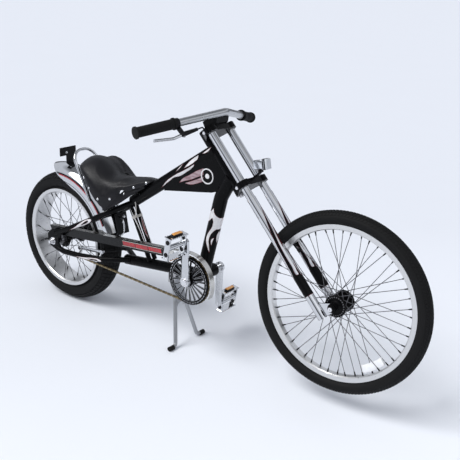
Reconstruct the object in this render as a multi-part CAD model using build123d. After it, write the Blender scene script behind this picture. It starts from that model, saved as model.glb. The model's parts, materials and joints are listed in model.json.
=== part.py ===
from build123d import *
import os
from math import acos, asin, atan2, ceil, cos, degrees, hypot, pi, radians, sin

# Chopper bicycle, parked on its centre stand with the front wheel off the floor.
# Millimetres. +X is forward, +Y is the rider's left, +Z is up, and the floor is z = 0.
# Every piece is modelled with the rear axle at x = 0, and moved by mid_length when it is written.

# Wheels
wheelbase = 1286.0
front_lift = 60.0
rear_tyre_radius = 275.0
rear_tyre_width = 98.0
rear_flange_radius = 209.0
rear_rim_width = 90.0
front_tyre_radius = 305.0
front_tyre_width = 54.0
front_flange_radius = 261.0
front_rim_width = 30.0
rim_wall = 2.5
spoke_radius = 1.2
tyre_sides = 68

# Steering
rake = 42.5
parked_steer = 5.0
fork_offset = 55.0
axle_lead = 49.0
leg_spacing = 108.0
leg_radius = 14.0
lower_leg_radius = 15.5
lower_clamp_height = 478.0
head_tube_length = 168.2
clamp_thickness = 22.0
clamp_grip = 9.0
head_tube_radius = 19.0
headset_gap = 0.4
cup_radius = 22.0
cup_height = 12.0
steerer_radius = 12.7
bar_radius = 12.7
bar_lead = 110.0
bar_rise = 42.0
bar_end_rise = 29.0
bar_sweep = 117.0
bar_half_width = 327.0
riser_width = 70.0
grip_length = 145.0
grip_radius = 16.0
boss_height = 40.0
lever_length = 90.0
cable_radius = 2.5
lamp_tilt = 13.0
lamp_y = 18.0

# Frame
bb_x = 724.0
bb_z = 306.0
bb_radius = 24.0
bb_half_width = 64.0
keel_radius = 20.0
keel_rear_x = 330.0
keel_rear_z = 256.0
top_tube_radius = 23.0
stay_radius = 11.0
strut_radius = 9.0
strut_half_gap = 14.0
dropout_y = 97.0
dropout_thickness = 8.0
axle_radius = 7.0

# Drive
crank_length = 152.0
spindle_radius = 10.0
arm_y = 98.0
arm_thickness = 11.0
arm_chamfer = 2.5
spindle_end = 6.5
chain_y = 75.0
chain_pitch = 12.7
chain_reach = 4.2
chain_waist = 2.9
chain_width = 6.8
chainring_teeth = 44
sprocket_teeth = 18
disc_y = 82.0
disc_thickness = 3.0
disc_radius = 91.0
slot_count = 20
guard_clearance = 10.0
guard_sheet = 1.6
guard_inner_y = 60.5
guard_outer_y = 82.5

# Rear fender and seat
fender_radius = 316.0
fender_half = 57.0
fender_sheet = 1.6
fender_depth = 70.0
fender_start = 17.0
fender_sweep = 90.0
seat_gap = 0.3
carrier_x = 165.0
bridge_radius = 6.0
axle_end = 120.0
hoop_half = 56.0
hoop_radius = 6.0

# Stand
stand_pivot_x = 600.0
stand_foot_x = 653.0
stand_spread = 62.0
foot_radius = 9.0
leg_bar_radius = 7.5

# Pedals
pedal_y = 155.0
pedal_width = 90.0
pedal_depth = 30.0
pedal_height = 80.0
pedal_sheet = 3.5
pedal_lean = 10.0

upper_clamp_height = lower_clamp_height + clamp_thickness + head_tube_length + 2 * (headset_gap + cup_height)
bar_height = upper_clamp_height + bar_rise
mid_length = (wheelbase + front_tyre_radius - rear_tyre_radius) / 2

os.makedirs("parts", exist_ok=True)


def save(name, shape):
    """Writes one node, moved so that the origin is under the middle of the length."""
    moved = Pos(-mid_length, 0, 0) * shape
    export_step(moved, f"parts/{name}.step")


def group(shapes):
    """Keeps like solids of one node together without joining them."""
    solids = []
    for shape in shapes:
        solids.extend(shape.solids())
    return Compound(children=solids)


def rod(start, end, radius):
    """Round bar between two points."""
    start, end = Vector(start), Vector(end)
    return extrude(Plane(origin=start, z_dir=end - start) * Circle(radius), amount=(end - start).length)


def bent_tube(points, radius, bend):
    """Round tube along straight stretches joined by bends of one radius."""
    path = FilletPolyline(*points, radius=bend)
    return sweep(Plane(origin=path @ 0, z_dir=path % 0) * Circle(radius), path=path)


def across(radius, y_from, y_to, x=0.0, z=0.0):
    """Round bar that lies across the bicycle, along Y."""
    return rod((x, y_from, z), (x, y_to, z), radius)


def ring_about_y(section_points):
    """Revolves a closed outline of (radius, y) points about the Y axis."""
    face = make_face(Polyline(*[(r, y, 0) for r, y in section_points], close=True))
    return revolve(face, axis=Axis.Y)


def upright_plate(outline, y, thickness):
    """Flat plate whose (x, z) outline stands lengthwise, centred on y."""
    face = Plane((0, y + thickness / 2, 0), x_dir=(1, 0, 0), z_dir=(0, -1, 0)) * make_face(outline)
    return extrude(face, amount=thickness)


def main_piece(shape):
    """The largest solid, without the offcuts that a cut leaves beyond a tube."""
    return max(shape.solids(), key=lambda solid: solid.volume)


def both_sides(shape):
    """The piece and its mirror image on the other side."""
    return [shape, mirror(shape, about=Plane.XZ)]


# Front end frame: local x points forwards off the steering axis, y to the left, z up the axis.
front_axle = Vector(wheelbase, 0, front_tyre_radius + front_lift)
axis_up = Vector(-sin(radians(rake)), 0, cos(radians(rake)))
axis_out = Vector(cos(radians(rake)), 0, sin(radians(rake)))
axis_base = front_axle - axis_out * (fork_offset + axle_lead)
steering = Plane(origin=axis_base, x_dir=axis_out, z_dir=axis_up).location * Rotation(0, 0, parked_steer)
straight = Plane(origin=axis_base, x_dir=axis_out, z_dir=axis_up).location
lead = fork_offset + axle_lead
rear_axle_z = rear_tyre_radius


# Wheels, each modelled about the Y axis at the origin

def faceted_ring(section_points, sides):
    """Ring of flat faces about the Y axis, with a corner of its outline straight below the middle."""
    turns = [2 * pi * i / sides - pi / 2 for i in range(sides)]
    rings = [[Vector(r * cos(turn), y, r * sin(turn)) for r, y in section_points] for turn in turns]
    faces = []
    for i in range(sides):
        here, ahead = rings[i], rings[(i + 1) % sides]
        for j in range(len(section_points)):
            k = (j + 1) % len(section_points)
            faces.append(Face(Wire.make_polygon([here[j], ahead[j], ahead[k], here[k]], close=True)))
    return Solid(Shell(faces))


def tyre(outer, width, flange, rim_width):
    """Tyre: beads inside the rim walls, then the sidewalls and a crowned tread, in few flat faces."""
    bead = rim_width / 2 - rim_wall - 0.2
    height = outer - flange
    half = width / 2
    # share of the height above the rim's edge, share of the half width
    profile = [(-0.12, bead / half), (0.01, bead / half), (0.22, 0.91), (0.48, 1.00), (0.76, 0.84), (0.94, 0.46),
               (1.00, 0.0)]
    right = [(flange + up * height, out * half) for up, out in profile]
    left = [(r, -y) for r, y in reversed(right[:-1])]
    return faceted_ring(right + left, tyre_sides)


def rim(flange, width, depth):
    """Rim: a channel with two walls and a floor that the spoke nipples sit on."""
    half = width / 2
    well = flange - 9.5
    inner = flange - depth
    return ring_about_y([
        (flange, half), (flange, half - rim_wall), (well, half - rim_wall), (well, -half + rim_wall),
        (flange, -half + rim_wall), (flange, -half), (inner + 3, -half + 1), (inner, -half + 5),
        (inner, half - 5), (inner + 3, half - 1),
    ])


def hub(flange_radius, flange_y, flange_thickness, barrel_radius, end_y, bore):
    """Hub: barrel, two flanges and bearing cones, bored for the axle."""
    body = across(barrel_radius, -flange_y, flange_y)
    for side in (-1, 1):
        body += across(flange_radius, side * flange_y, side * (flange_y + flange_thickness))
        body += across(barrel_radius * 0.8, side * flange_y, side * end_y)
    return body - across(bore, -end_y - 1, end_y + 1)


def spokes(count, rim_radius, flange_radius, flange_y, lean, rim_y):
    """Straight spokes, by turns to the left and right flange, leaning forwards and back in pairs."""
    bars = []
    for i in range(count):
        at_rim = 2 * pi * i / count
        side = 1 if i % 2 else -1
        way = 1 if (i // 2) % 2 else -1
        at_hub = at_rim + way * radians(lean)
        out = (rim_radius * cos(at_rim), side * rim_y, rim_radius * sin(at_rim))
        base = (flange_radius * cos(at_hub), side * flange_y, flange_radius * sin(at_hub))
        along = Vector(out) - Vector(base)
        bars.append(extrude(Plane(origin=base, z_dir=along) * RegularPolygon(spoke_radius, 6), amount=along.length))
    return group(bars)


front_rim_depth = 18.0
front_hub_flange = 30.0
front_hub_y = 30.0
rear_rim_depth = 16.0
rear_hub_flange = 34.0
rear_hub_y = 42.0
flange_thickness = 4.0
running_gap = 0.05

front_place = steering * Pos(lead, 0, 0)
rear_place = Pos(0, 0, rear_axle_z)

save("front_tyre", front_place * tyre(front_tyre_radius, front_tyre_width, front_flange_radius, front_rim_width))
save("front_rim", front_place * rim(front_flange_radius, front_rim_width, front_rim_depth))
save("front_hub", front_place * hub(front_hub_flange + 6, front_hub_y, flange_thickness, 16.0, 42.0, axle_radius + running_gap))
save("front_spokes", front_place * spokes(48, front_flange_radius - front_rim_depth, front_hub_flange,
                                          front_hub_y - spoke_radius - 0.3, 75.0, 4.0))
save("rear_tyre", rear_place * tyre(rear_tyre_radius, rear_tyre_width, rear_flange_radius, rear_rim_width))
save("rear_rim", rear_place * rim(rear_flange_radius, rear_rim_width, rear_rim_depth))
save("rear_hub", rear_place * hub(rear_hub_flange + 6, rear_hub_y, flange_thickness, 20.0, 74.0, axle_radius + running_gap))
save("rear_spokes", rear_place * spokes(36, rear_flange_radius - rear_rim_depth, rear_hub_flange,
                                        rear_hub_y - spoke_radius - 0.3, 70.0, 22.0))


# Drive

def pitch_radius(teeth):
    return chain_pitch / 2 / sin(pi / teeth)


def toothed_ring(teeth, y_centre, thickness, bore):
    """Flat ring with pointed teeth, whose tips stay inside the chain's loop."""
    tip = pitch_radius(teeth) - chain_reach - 0.6
    root = tip - 4.5
    points = []
    for i in range(teeth):
        middle = 2 * pi * i / teeth
        for part, radius in ((-0.30, root), (-0.10, tip), (0.10, tip), (0.30, root)):
            angle = middle + part * 2 * pi / teeth
            points.append((radius * cos(angle), radius * sin(angle)))
    face = Plane.XZ * make_face(Polyline(*points, close=True))
    ring = extrude(Pos(0, y_centre + thickness / 2, 0) * face, amount=thickness)
    return ring - across(bore, y_centre - thickness, y_centre + thickness)


ring_pitch = pitch_radius(chainring_teeth)
sprocket_pitch = pitch_radius(sprocket_teeth)
bb_place = Pos(bb_x, 0, bb_z)


def chainring():
    """Pierced disc with radial slots, and a toothed ring behind it."""
    disc = across(disc_radius, -disc_y - disc_thickness / 2, -disc_y + disc_thickness / 2)
    slot_in, slot_out = 24.0, 76.0
    for i in range(slot_count):
        angle = 360 * i / slot_count
        narrow = 2 * pi * slot_in / slot_count * 0.52
        wide = 2 * pi * slot_out / slot_count * 0.72
        outline = Polyline((slot_in, -narrow / 2), (slot_out, -wide / 2), (slot_out, wide / 2),
                           (slot_in, narrow / 2), close=True)
        cutter = extrude(Plane.XZ * make_face(outline), amount=disc_thickness * 3, both=True)
        disc -= Pos(0, -disc_y, 0) * Rotation(0, angle, 0) * cutter
    teeth = toothed_ring(chainring_teeth, -chain_y, 2.4, slot_out + 3.5)
    spacer = across(disc_radius - 8.5, -disc_y + disc_thickness / 2, -chain_y - 1.2) \
        - across(slot_out + 3.5, -disc_y, -chain_y)
    hub_part = across(20.0, -disc_y + disc_thickness / 2, -chain_y)
    return disc + teeth + spacer + hub_part - across(spindle_radius, -110, -60)


def crank():
    """One-piece crank: spindle with an arm up on the right and down on the left, bored for the pedals."""
    body = across(spindle_radius, -arm_y, arm_y)
    for side in (-1, 1):
        y_in, y_out = side * (arm_y - arm_thickness / 2), side * (arm_y + arm_thickness / 2)
        eye_z = -side * crank_length
        outline = make_hull([*Circle(16.0).edges(), *(Pos(0, eye_z) * Circle(12.5)).edges()])
        arm = extrude(Plane((0, max(y_in, y_out), 0), x_dir=(1, 0, 0), z_dir=(0, -1, 0)) * outline, amount=arm_thickness)
        body += chamfer(arm.edges(), arm_chamfer)
        body += across(19.0, y_in, y_out)
        body -= across(spindle_end + 0.4, y_in - side, y_out + side, 0, eye_z)
    return body


save("chainring", bb_place * chainring())
save("crank", bb_place * crank())

carrier = across(20.0, -chain_y - 1.2, -rear_hub_y - flange_thickness) \
    - across(axle_radius + running_gap + 10, -dropout_y, 0)
save("sprocket", rear_place * (toothed_ring(sprocket_teeth, -chain_y, 2.4, 20.0) + carrier))


def chain():
    """One closed loop on the pitch circles, wide at each pin and narrow at each link's waist."""
    span = hypot(bb_x, bb_z - rear_axle_z)
    slope = atan2(bb_z - rear_axle_z, bb_x)
    tilt = asin((ring_pitch - sprocket_pitch) / span)
    run = span * cos(tilt)
    rear_wrap = pi - 2 * tilt
    front_wrap = pi + 2 * tilt
    total = 2 * run + rear_wrap * sprocket_pitch + front_wrap * ring_pitch
    links = 2 * round(total / chain_pitch / 2)

    def at(s):
        """Point on the pitch line, from the sprocket's top round by the chainring."""
        top = slope + pi / 2 + tilt
        if s < run:
            x = sprocket_pitch * cos(top) + s * cos(slope + tilt)
            z = rear_axle_z + sprocket_pitch * sin(top) + s * sin(slope + tilt)
            return x, z
        s -= run
        if s < front_wrap * ring_pitch:
            angle = top - s / ring_pitch
            return bb_x + ring_pitch * cos(angle), bb_z + ring_pitch * sin(angle)
        s -= front_wrap * ring_pitch
        low = top - front_wrap
        if s < run:
            x = bb_x + ring_pitch * cos(low) - s * cos(slope - tilt)
            z = bb_z + ring_pitch * sin(low) - s * sin(slope - tilt)
            return x, z
        s -= run
        angle = low - s / sprocket_pitch
        return sprocket_pitch * cos(angle), rear_axle_z + sprocket_pitch * sin(angle)

    outlines = {1: [], -1: []}
    step = total / links
    for i in range(links):
        for part, reach in ((0.0, chain_reach), (0.5, chain_waist)):
            s = (i + part) * step
            x, z = at(s)
            ahead_x, ahead_z = at((s + 0.5) % total)
            size = hypot(ahead_x - x, ahead_z - z)
            for sign in (1, -1):
                outlines[sign].append((x - sign * (ahead_z - z) / size * reach, z + sign * (ahead_x - x) / size * reach))
    around = upright_plate(Polyline(*outlines[1], close=True), -chain_y, chain_width)
    return around - upright_plate(Polyline(*outlines[-1], close=True), -chain_y, chain_width + 2)


save("chain", chain())


def chain_guard():
    """Long guard: a lip over the chain, a side face along the top run, a band round the ring."""
    radius = ring_pitch + chain_reach + guard_clearance
    rear_x, rear_z = -38.0, 331.0
    dx, dz = bb_x - rear_x, bb_z - rear_z
    reach = hypot(dx, dz)
    touch = atan2(dz, dx) + pi - acos(radius / reach)
    tangent = (bb_x + radius * cos(touch), bb_z + radius * sin(touch))
    end = radians(-26)
    tip = (bb_x + radius * cos(end), bb_z + radius * sin(end))
    middle_angle = (touch + end) / 2
    middle = (bb_x + radius * cos(middle_angle), bb_z + radius * sin(middle_angle))
    outer = radius + guard_sheet
    lip_in = [Line((rear_x, rear_z), tangent), ThreePointArc(tangent, middle, tip)]
    up = (cos(touch) * guard_sheet, sin(touch) * guard_sheet)
    rear_out = (rear_x + up[0], rear_z + up[1])
    tangent_out = (tangent[0] + up[0], tangent[1] + up[1])
    middle_out = (bb_x + outer * cos(middle_angle), bb_z + outer * sin(middle_angle))
    tip_out = (bb_x + outer * cos(end), bb_z + outer * sin(end))
    lip_out = [Line(rear_out, tangent_out), ThreePointArc(tangent_out, middle_out, tip_out)]
    face = make_face(lip_in + lip_out + [Line((rear_x, rear_z), rear_out), Line(tip, tip_out)])
    lip = extrude(Plane((0, -guard_inner_y, 0), x_dir=(1, 0, 0), z_dir=(0, -1, 0)) * face,
                  amount=guard_outer_y - guard_inner_y)
    drop = 32.0
    side_front = 0.92
    front_x = rear_x + (tangent[0] - rear_x) * side_front
    front_z = rear_z + (tangent[1] - rear_z) * side_front
    side = Polyline((rear_x, rear_z), (front_x, front_z), (front_x - 12, front_z - drop), (rear_x + 14, rear_z - drop),
                    close=True)
    shell = lip + upright_plate(side, -guard_outer_y + guard_sheet / 2, guard_sheet)
    boss = across(5.0, -dropout_y + dropout_thickness / 2, -guard_outer_y + guard_sheet, 34, 320)
    collar_x, collar_z = 437.5, 353.0
    along = Vector(108, 0, -210).normalized()
    collar_mid = Vector(collar_x, -strut_half_gap, collar_z)
    collar = rod(collar_mid - along * 6, collar_mid + along * 6, strut_radius + 3)
    arm = Pos(collar_x, (-guard_outer_y + guard_sheet - strut_half_gap) / 2, 352) \
        * Box(12, guard_outer_y - guard_sheet - strut_half_gap, 3)
    bracket = collar + arm - rod(collar_mid - along * 30, collar_mid + along * 30, strut_radius + seat_gap)
    return shell + (boss - seat_stay) + bracket


# Frame

def on_axis(height):
    """Point on the steering axis at a height measured up the axis."""
    return axis_base + axis_up * height


head_low = lower_clamp_height + clamp_thickness + headset_gap + cup_height
head_high = upper_clamp_height - headset_gap - cup_height
head_outer = straight * (Pos(0, 0, head_low) * extrude(Circle(head_tube_radius), amount=head_high - head_low))
cup_low = straight * (Pos(0, 0, head_low - cup_height) * extrude(Circle(cup_radius), amount=cup_height))
cup_high = straight * (Pos(0, 0, head_high) * extrude(Circle(cup_radius), amount=cup_height))
head_bore = straight * extrude(Circle(steerer_radius + running_gap), amount=900)
head_tube_solid = head_outer + cup_low + cup_high
save("head_tube", head_tube_solid - head_bore)

bb_shell = across(bb_radius, -bb_half_width, bb_half_width, bb_x, bb_z)
bb_bore = across(spindle_radius + running_gap, -bb_half_width - 1, bb_half_width + 1, bb_x, bb_z)
save("bottom_bracket", bb_shell - bb_bore)

keel = rod((keel_rear_x, 0, keel_rear_z), (bb_x, 0, bb_z), keel_radius) - bb_shell
save("keel_tube", keel)

top_rear = (372.0, 0, 508.0)
head_join = on_axis(head_high - 26)
top_tube = rod(top_rear, head_join, top_tube_radius) - head_tube_solid
save("top_tube", top_tube)

down_join = on_axis(head_low + 32)
down_tube = bent_tube([tuple(down_join), (797, 0, 618), (bb_x, 0, bb_z)], 25.0, 90.0)
down_tube = main_piece(down_tube - head_tube_solid - bb_shell - top_tube - keel)
save("down_tube", down_tube)

gusset_half = 17.0
tube_slope = (head_join.Z - top_rear[2]) / (head_join.X - top_rear[0])
gusset_rear = 543.0
gusset_rear_z = top_rear[2] + (gusset_rear - top_rear[0]) * tube_slope
gusset_front = on_axis(head_low + 16)
gusset_outline = Polyline((gusset_rear, gusset_rear_z - 35), (down_join.X - 77, down_join.Z - 68),
                          (down_join.X - 42, down_join.Z - 56), (gusset_front.X + 12, gusset_front.Z + 6),
                          (head_join.X, head_join.Z), (gusset_rear + 13, gusset_rear_z + 9), close=True)
gusset = extrude(Plane.XZ * make_face(gusset_outline), amount=gusset_half, both=True)
gusset = main_piece(gusset - top_tube - down_tube - head_tube_solid)
save("gusset", gusset)

chainstay = bent_tube([(20, -dropout_y, rear_axle_z - 24), (60, -dropout_y, 244), (150, -94, 249), (262, -76, 258),
                       (362, -14, 264)], stay_radius, 28.0)
seat_stay = bent_tube([(16, -dropout_y, rear_axle_z + 38), (100, -95.5, 353), (215, -78, 413), (293, -60, 457),
                       (385, -12, 510)], stay_radius, 28.0)
dropout_outline = Polyline((-30, 258), (-32, 300), (-12, 322), (40, 334), (58, 318), (34, 296), (30, 272), (52, 250),
                           (30, 240), (0, 246), close=True)
dropout = upright_plate(dropout_outline, -dropout_y, dropout_thickness)
dropout -= across(axle_radius, -dropout_y - 9, -dropout_y + 9, 0, rear_axle_z)
chainstay = chainstay - dropout - keel
seat_stay = seat_stay - dropout - top_tube
for name, shape in (("chainstay", chainstay), ("seat_stay", seat_stay)):
    right, left = both_sides(shape)
    save(name + "_right", right)
    save(name + "_left", left)
save("dropouts", group(both_sides(dropout)))

strut_top, strut_foot = (362, -strut_half_gap, 500), (470, -strut_half_gap, 290)
strut = rod(strut_top, strut_foot, strut_radius) - top_tube - keel - seat_stay
save("seat_struts", group(both_sides(strut)))
save("chain_guard", chain_guard())

# the bridge crosses the stays' middle stretch, where it just touches the fender
stretch = Vector(78, 0, 44).normalized()
stretch_start = Vector(215, 0, 413 - rear_axle_z)
half_way = stretch_start.dot(stretch)
bridge_reach = fender_radius + bridge_radius + 0.05
along_stretch = (half_way ** 2 - stretch_start.length ** 2 + bridge_reach ** 2) ** 0.5 - half_way
bridge_point = stretch_start + stretch * along_stretch
bridge = across(bridge_radius, -70, 70, bridge_point.X, bridge_point.Z + rear_axle_z)
bridge = bridge - both_sides(seat_stay)[0] - both_sides(seat_stay)[1]
save("stay_bridge", main_piece(bridge))

rear_axle = across(axle_radius, -axle_end, axle_end, 0, rear_axle_z)
nut = across(11.0, -dropout_y - dropout_thickness / 2 - 9, -dropout_y - dropout_thickness / 2, 0, rear_axle_z) \
    - across(axle_radius, -120, 0, 0, rear_axle_z)
save("rear_axle", rear_axle + both_sides(nut)[0] + both_sides(nut)[1])


# Rear fender, plate, sissy bar and bracket

def fender():
    """Deep channel round the tyre, from low in front of it to a tail that is rounded from above."""
    lines = []
    low = fender_radius - fender_depth
    for outer, half in ((fender_radius, fender_half), (fender_radius - fender_sheet, fender_half - fender_sheet)):
        knee, bend, side = (outer - 24, half - 8), (outer - 33, half - 2.2), (outer - 43, half)
        lines.append(ThreePointArc((knee[0], knee[1]), (outer, 0), (knee[0], -knee[1])))
        for sign in (-1, 1):
            lines.append(ThreePointArc((knee[0], sign * knee[1]), (bend[0], sign * bend[1]), (side[0], sign * side[1])))
            lines.append(Line((side[0], sign * side[1]), (low, sign * side[1])))
    for sign in (-1, 1):
        lines.append(Line((low, sign * fender_half), (low, sign * (fender_half - fender_sheet))))
    start = Rotation(0, -fender_start, 0) * make_face(lines)
    channel = revolve(start, axis=Axis.Y, revolution_arc=-fender_sweep)
    tail = Pos(-80, 0, 200) * Box(200, 200, 300) - extrude(Pos(20, 0, 0) * Ellipse(95, 59.3), amount=400)
    skirt = upright_plate(Polyline((85, 230), (-60, 294), (-60, 150), (85, 150), close=True), 0, 200)
    return rear_place * main_piece(channel - tail - skirt)


rear_fender = fender()
save("rear_fender", rear_fender)


def on_fender(shape):
    """The part of a carrier that stands on the fender's outside."""
    return main_piece(shape - rear_fender)


hoop_foot_y = fender_half + hoop_radius - 2
hoop_side = [(188, -hoop_foot_y, 478), (152, -hoop_half - 2, 541), (82, -hoop_half, 661)]
sissy = bent_tube(hoop_side + [(x, -y, z) for x, y, z in reversed(hoop_side)], hoop_radius, 50.0)
save("sissy_bar", on_fender(sissy))

tail_bracket = Pos(-8, 0, 638) * Box(5, 80, 34)
tail_bracket += Pos(-8, 16, 600) * Box(5, 48, 60)
save("tail_bracket", on_fender(tail_bracket))

plate = Pos(303, 0, 400) * Rotation(0, -12, 0) * Box(4, 60, 84)
plate += rod((250, 0, 398), (302, 0, 400), 8.0)
save("fender_plate", on_fender(plate))


# Seat

def seat():
    """Saddle: a skin of arched sections that hangs down both sides, hollow below over the fender."""
    # place along the bicycle, half width, height of the crown, height where the arch meets the skirt
    sections = [(116, 36, 604, 588), (135, 68, 634, 604), (165, 92, 652, 606), (200, 104, 650, 592),
                (250, 107, 626, 564), (300, 98, 601, 545), (350, 80, 601, 554), (400, 58, 608, 574),
                (450, 40, 622, 600), (480, 29, 620, 603), (497, 16, 606, 597)]
    outlines = []
    for x, half, crown, shoulder in sections:
        rise = crown - shoulder
        arch = Spline((-half, shoulder), (-0.8 * half, shoulder + 0.6 * rise), (0, crown),
                      (0.8 * half, shoulder + 0.6 * rise), (half, shoulder), tangents=[(0, 1), (0, -1)])
        below = Polyline((half, shoulder), (half, 440), (-half, 440), (-half, shoulder))
        place = Plane(origin=(x, 0, 0), x_dir=(0, 1, 0), z_dir=(1, 0, 0))
        outlines.append(place * make_face([arch, below]))
    skin = loft(outlines)
    side = Polyline((500, 610), (423, 574), (365, 530), (312, 478), (296, 478), (262, 508), (223, 547), (165, 596),
                    (118, 612), (100, 700), (520, 700), close=True)
    body = skin & upright_plate(side, 0, 300)
    lift = top_tube_radius * hypot(1, tube_slope) + seat_gap

    def over_tube(x):
        """Point of the seat's underside, just clear of the top tube."""
        return x, top_rear[2] + (x - top_rear[0]) * tube_slope + lift

    channel = Polyline((90, 560), (130, 592), (260, 592), (320, 570), over_tube(396), over_tube(540), (560, 400), (90, 400),
                       close=True)
    return main_piece(body - extrude(Plane.XZ * make_face(channel), amount=70, both=True))


save("seat", seat())

carrier = []
for side in (-1, 1):
    foot = bent_tube([(carrier_x, side * 30, 500), (carrier_x, side * 30, 592 - 6.0 - seat_gap),
                      (carrier_x + 70, side * 30, 592 - 6.0 - seat_gap)], 6.0, 14.0)
    carrier.append(on_fender(foot))
save("seat_carrier", group(carrier))


# Front end, in the steering frame

legs = []
for side in (-1, 1):
    y = side * leg_spacing / 2
    upper = Pos(fork_offset, y, lower_clamp_height - 40) \
        * extrude(Circle(leg_radius), amount=upper_clamp_height + clamp_thickness - lower_clamp_height + 40)
    lower = Pos(fork_offset, y, -14) * extrude(Circle(lower_leg_radius), amount=lower_clamp_height - 26)
    legs.append(upper + lower)
save("fork_legs", steering * group(legs))


def clamp(height, reach):
    """Triple clamp: a plate that holds both legs and the steerer."""
    half = leg_spacing / 2
    plate_body = Pos(0, 0, height) * extrude(Circle(cup_radius), amount=clamp_thickness)
    side = half + leg_radius + clamp_grip
    front = fork_offset + leg_radius
    arm = Polyline((-cup_radius, 0), (-4, -cup_radius), (fork_offset - 6, -side), (front + 2, -side + 4),
                   (front + reach, 0), (front + 2, side - 4), (fork_offset - 6, side), (-4, cup_radius), close=True)
    plate_body += Pos(0, 0, height) * extrude(make_face(arm), amount=clamp_thickness)
    for side in (-1, 1):
        plate_body += Pos(fork_offset, side * half, height) * extrude(Circle(leg_radius + clamp_grip), amount=clamp_thickness)
        plate_body -= Pos(fork_offset, side * half, height - 1) * extrude(Circle(leg_radius), amount=clamp_thickness + 2)
    return plate_body - Pos(0, 0, height - 1) * extrude(Circle(steerer_radius), amount=clamp_thickness + 2)


save("lower_clamp", steering * clamp(lower_clamp_height, 4))
steerer_bore = extrude(Circle(steerer_radius), amount=900)
boss = Pos(0, 0, upper_clamp_height) * extrude(Circle(cup_radius), amount=boss_height)
save("upper_clamp", steering * (clamp(upper_clamp_height, 4) + boss - steerer_bore))
steerer_low = lower_clamp_height - 8
steerer = Pos(0, 0, steerer_low) \
    * extrude(Circle(steerer_radius), amount=upper_clamp_height + clamp_thickness - steerer_low)
save("steerer", steering * steerer)

bar_end = Vector(bar_lead - bar_sweep, -bar_half_width, bar_height + bar_end_rise)
bar_tip = Vector(bar_lead, 0, bar_height)
bar = bent_tube([tuple(bar_end), tuple(bar_tip), (bar_end.X, -bar_end.Y, bar_end.Z)], bar_radius, 20.0)
save("handlebar", steering * bar)

riser_base = upper_clamp_height + clamp_thickness
riser_outline = Polyline((25, riser_base), (fork_offset + leg_radius + 8, riser_base), (bar_lead - 18, bar_height - 7),
                         (bar_lead - 18, bar_height + 11), (bar_lead - 30, bar_height + 14), (33, bar_height + 14),
                         close=True)
riser = upright_plate(riser_outline, 0, riser_width)
riser -= bar
riser -= boss
save("riser", steering * main_piece(riser))

grip_direction = (bar_tip - bar_end).normalized()
grip_start = bar_end - grip_direction * 3
grip_end = grip_start + grip_direction * grip_length
bar_hole = rod(bar_end, grip_end + grip_direction * 5, bar_radius)
grip = rod(grip_start, grip_end, grip_radius)
for place in (grip_start, grip_end - grip_direction * 5):
    grip += rod(place, place + grip_direction * 5, grip_radius + 4)
grip -= bar_hole
save("grips", steering * group(both_sides(grip)))

ends = []
for side in (-1, 1):
    y = side * leg_spacing / 2
    end_plate = Polyline((fork_offset + 6, -10), (fork_offset + 6, 34), (fork_offset + 20, 32), (lead + 8, 13),
                         (lead + 13, 0), (lead + 6, -12), (lead - 8, -14), close=True)
    blade = upright_plate(end_plate, y - side * 3, 6)
    blade -= across(axle_radius, -80, 80, lead, 0)
    ends.append(main_piece(blade - legs[0] - legs[1]))
save("fork_ends", steering * group(ends))

axle_body = across(axle_radius, -72, 72, lead, 0)
for side in (-1, 1):
    axle_body += across(11.0, side * leg_spacing / 2, side * (leg_spacing / 2 + 11), lead, 0)
    axle_body += across(9.5, side * 42.3, side * (leg_spacing / 2 - 6), lead, 0)
save("front_axle", steering * axle_body)

collar_near = grip_end + grip_direction * 2
collar_far = collar_near + grip_direction * 12
collar_low = (collar_near + collar_far) / 2 - Vector(2, 0, 16)
pivot = collar_low + Vector(-12, 22, -19)
cable_exit = pivot + Vector(17, 59, 2)
bracket = rod(collar_near, collar_far, bar_radius + 4) + rod(collar_low, pivot, 8.0)
bracket += Plane(pivot).location * Sphere(9.0)
arm_plane = Plane(origin=pivot, z_dir=cable_exit - pivot)
arm_reach = (cable_exit - pivot).length
bracket += loft([arm_plane * Circle(8.5), arm_plane.offset(arm_reach) * Circle(5.5)])
bracket = main_piece(bracket - bar)
save("brake_bracket", steering * bracket)
lever_line = (Vector(bar_end.X, bar_end.Y, bar_end.Z - 30) - pivot).normalized()
blade = bent_tube([tuple(pivot), tuple(pivot + Vector(-22, -26, 1)), tuple(pivot + lever_line * lever_length + Vector(-22, -10, 4))],
                  5.0, 20.0)
save("brake_lever", steering * main_piece(blade - bracket))

cable_end = Vector(11, -17, riser_base + 9)
way_out = (cable_exit - pivot).normalized()
cable_route = [tuple(cable_exit + way_out * 0.3), tuple(cable_exit + way_out * 16), (38, -60, riser_base + 12),
               (24, -36, riser_base + 12), tuple(cable_end)]
cable = bent_tube(cable_route, cable_radius, 20.0) - boss
save("brake_cable", steering * main_piece(cable))

lamp_place = Location((fork_offset + 68, lamp_y, lower_clamp_height + 44), (0, rake - lamp_tilt, 0))
lamp_box = lamp_place * Box(62, 30, 38)
save("headlamp", steering * lamp_box)
clamp_top = lower_clamp_height + clamp_thickness
strap = Polyline((58, clamp_top), (92, clamp_top), (128, clamp_top + 24), (124, clamp_top + 28), (90, clamp_top + 4),
                 (58, clamp_top + 4), close=True)
save("lamp_bracket", steering * (upright_plate(strap, lamp_y, 16) - lamp_box))

# Pedals, whose platforms hang upright

def pedal_place(side):
    """Middle of a pedal on its spindle."""
    return bb_place * Pos(0, side * pedal_y, -side * crank_length)


def toothed_plate(z):
    """Level plate of the cage, with teeth along its front and rear edges."""
    plate_body = Pos(0, 0, z) * Box(pedal_depth, pedal_width, pedal_sheet)
    pitch = pedal_width / 9
    for i in range(8):
        for edge in (-1, 1):
            notch = Pos(edge * pedal_depth / 2, (i - 3.5) * pitch, z) * Cylinder(pitch * 0.34, pedal_sheet * 2)
            plate_body -= notch
    return plate_body


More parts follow.
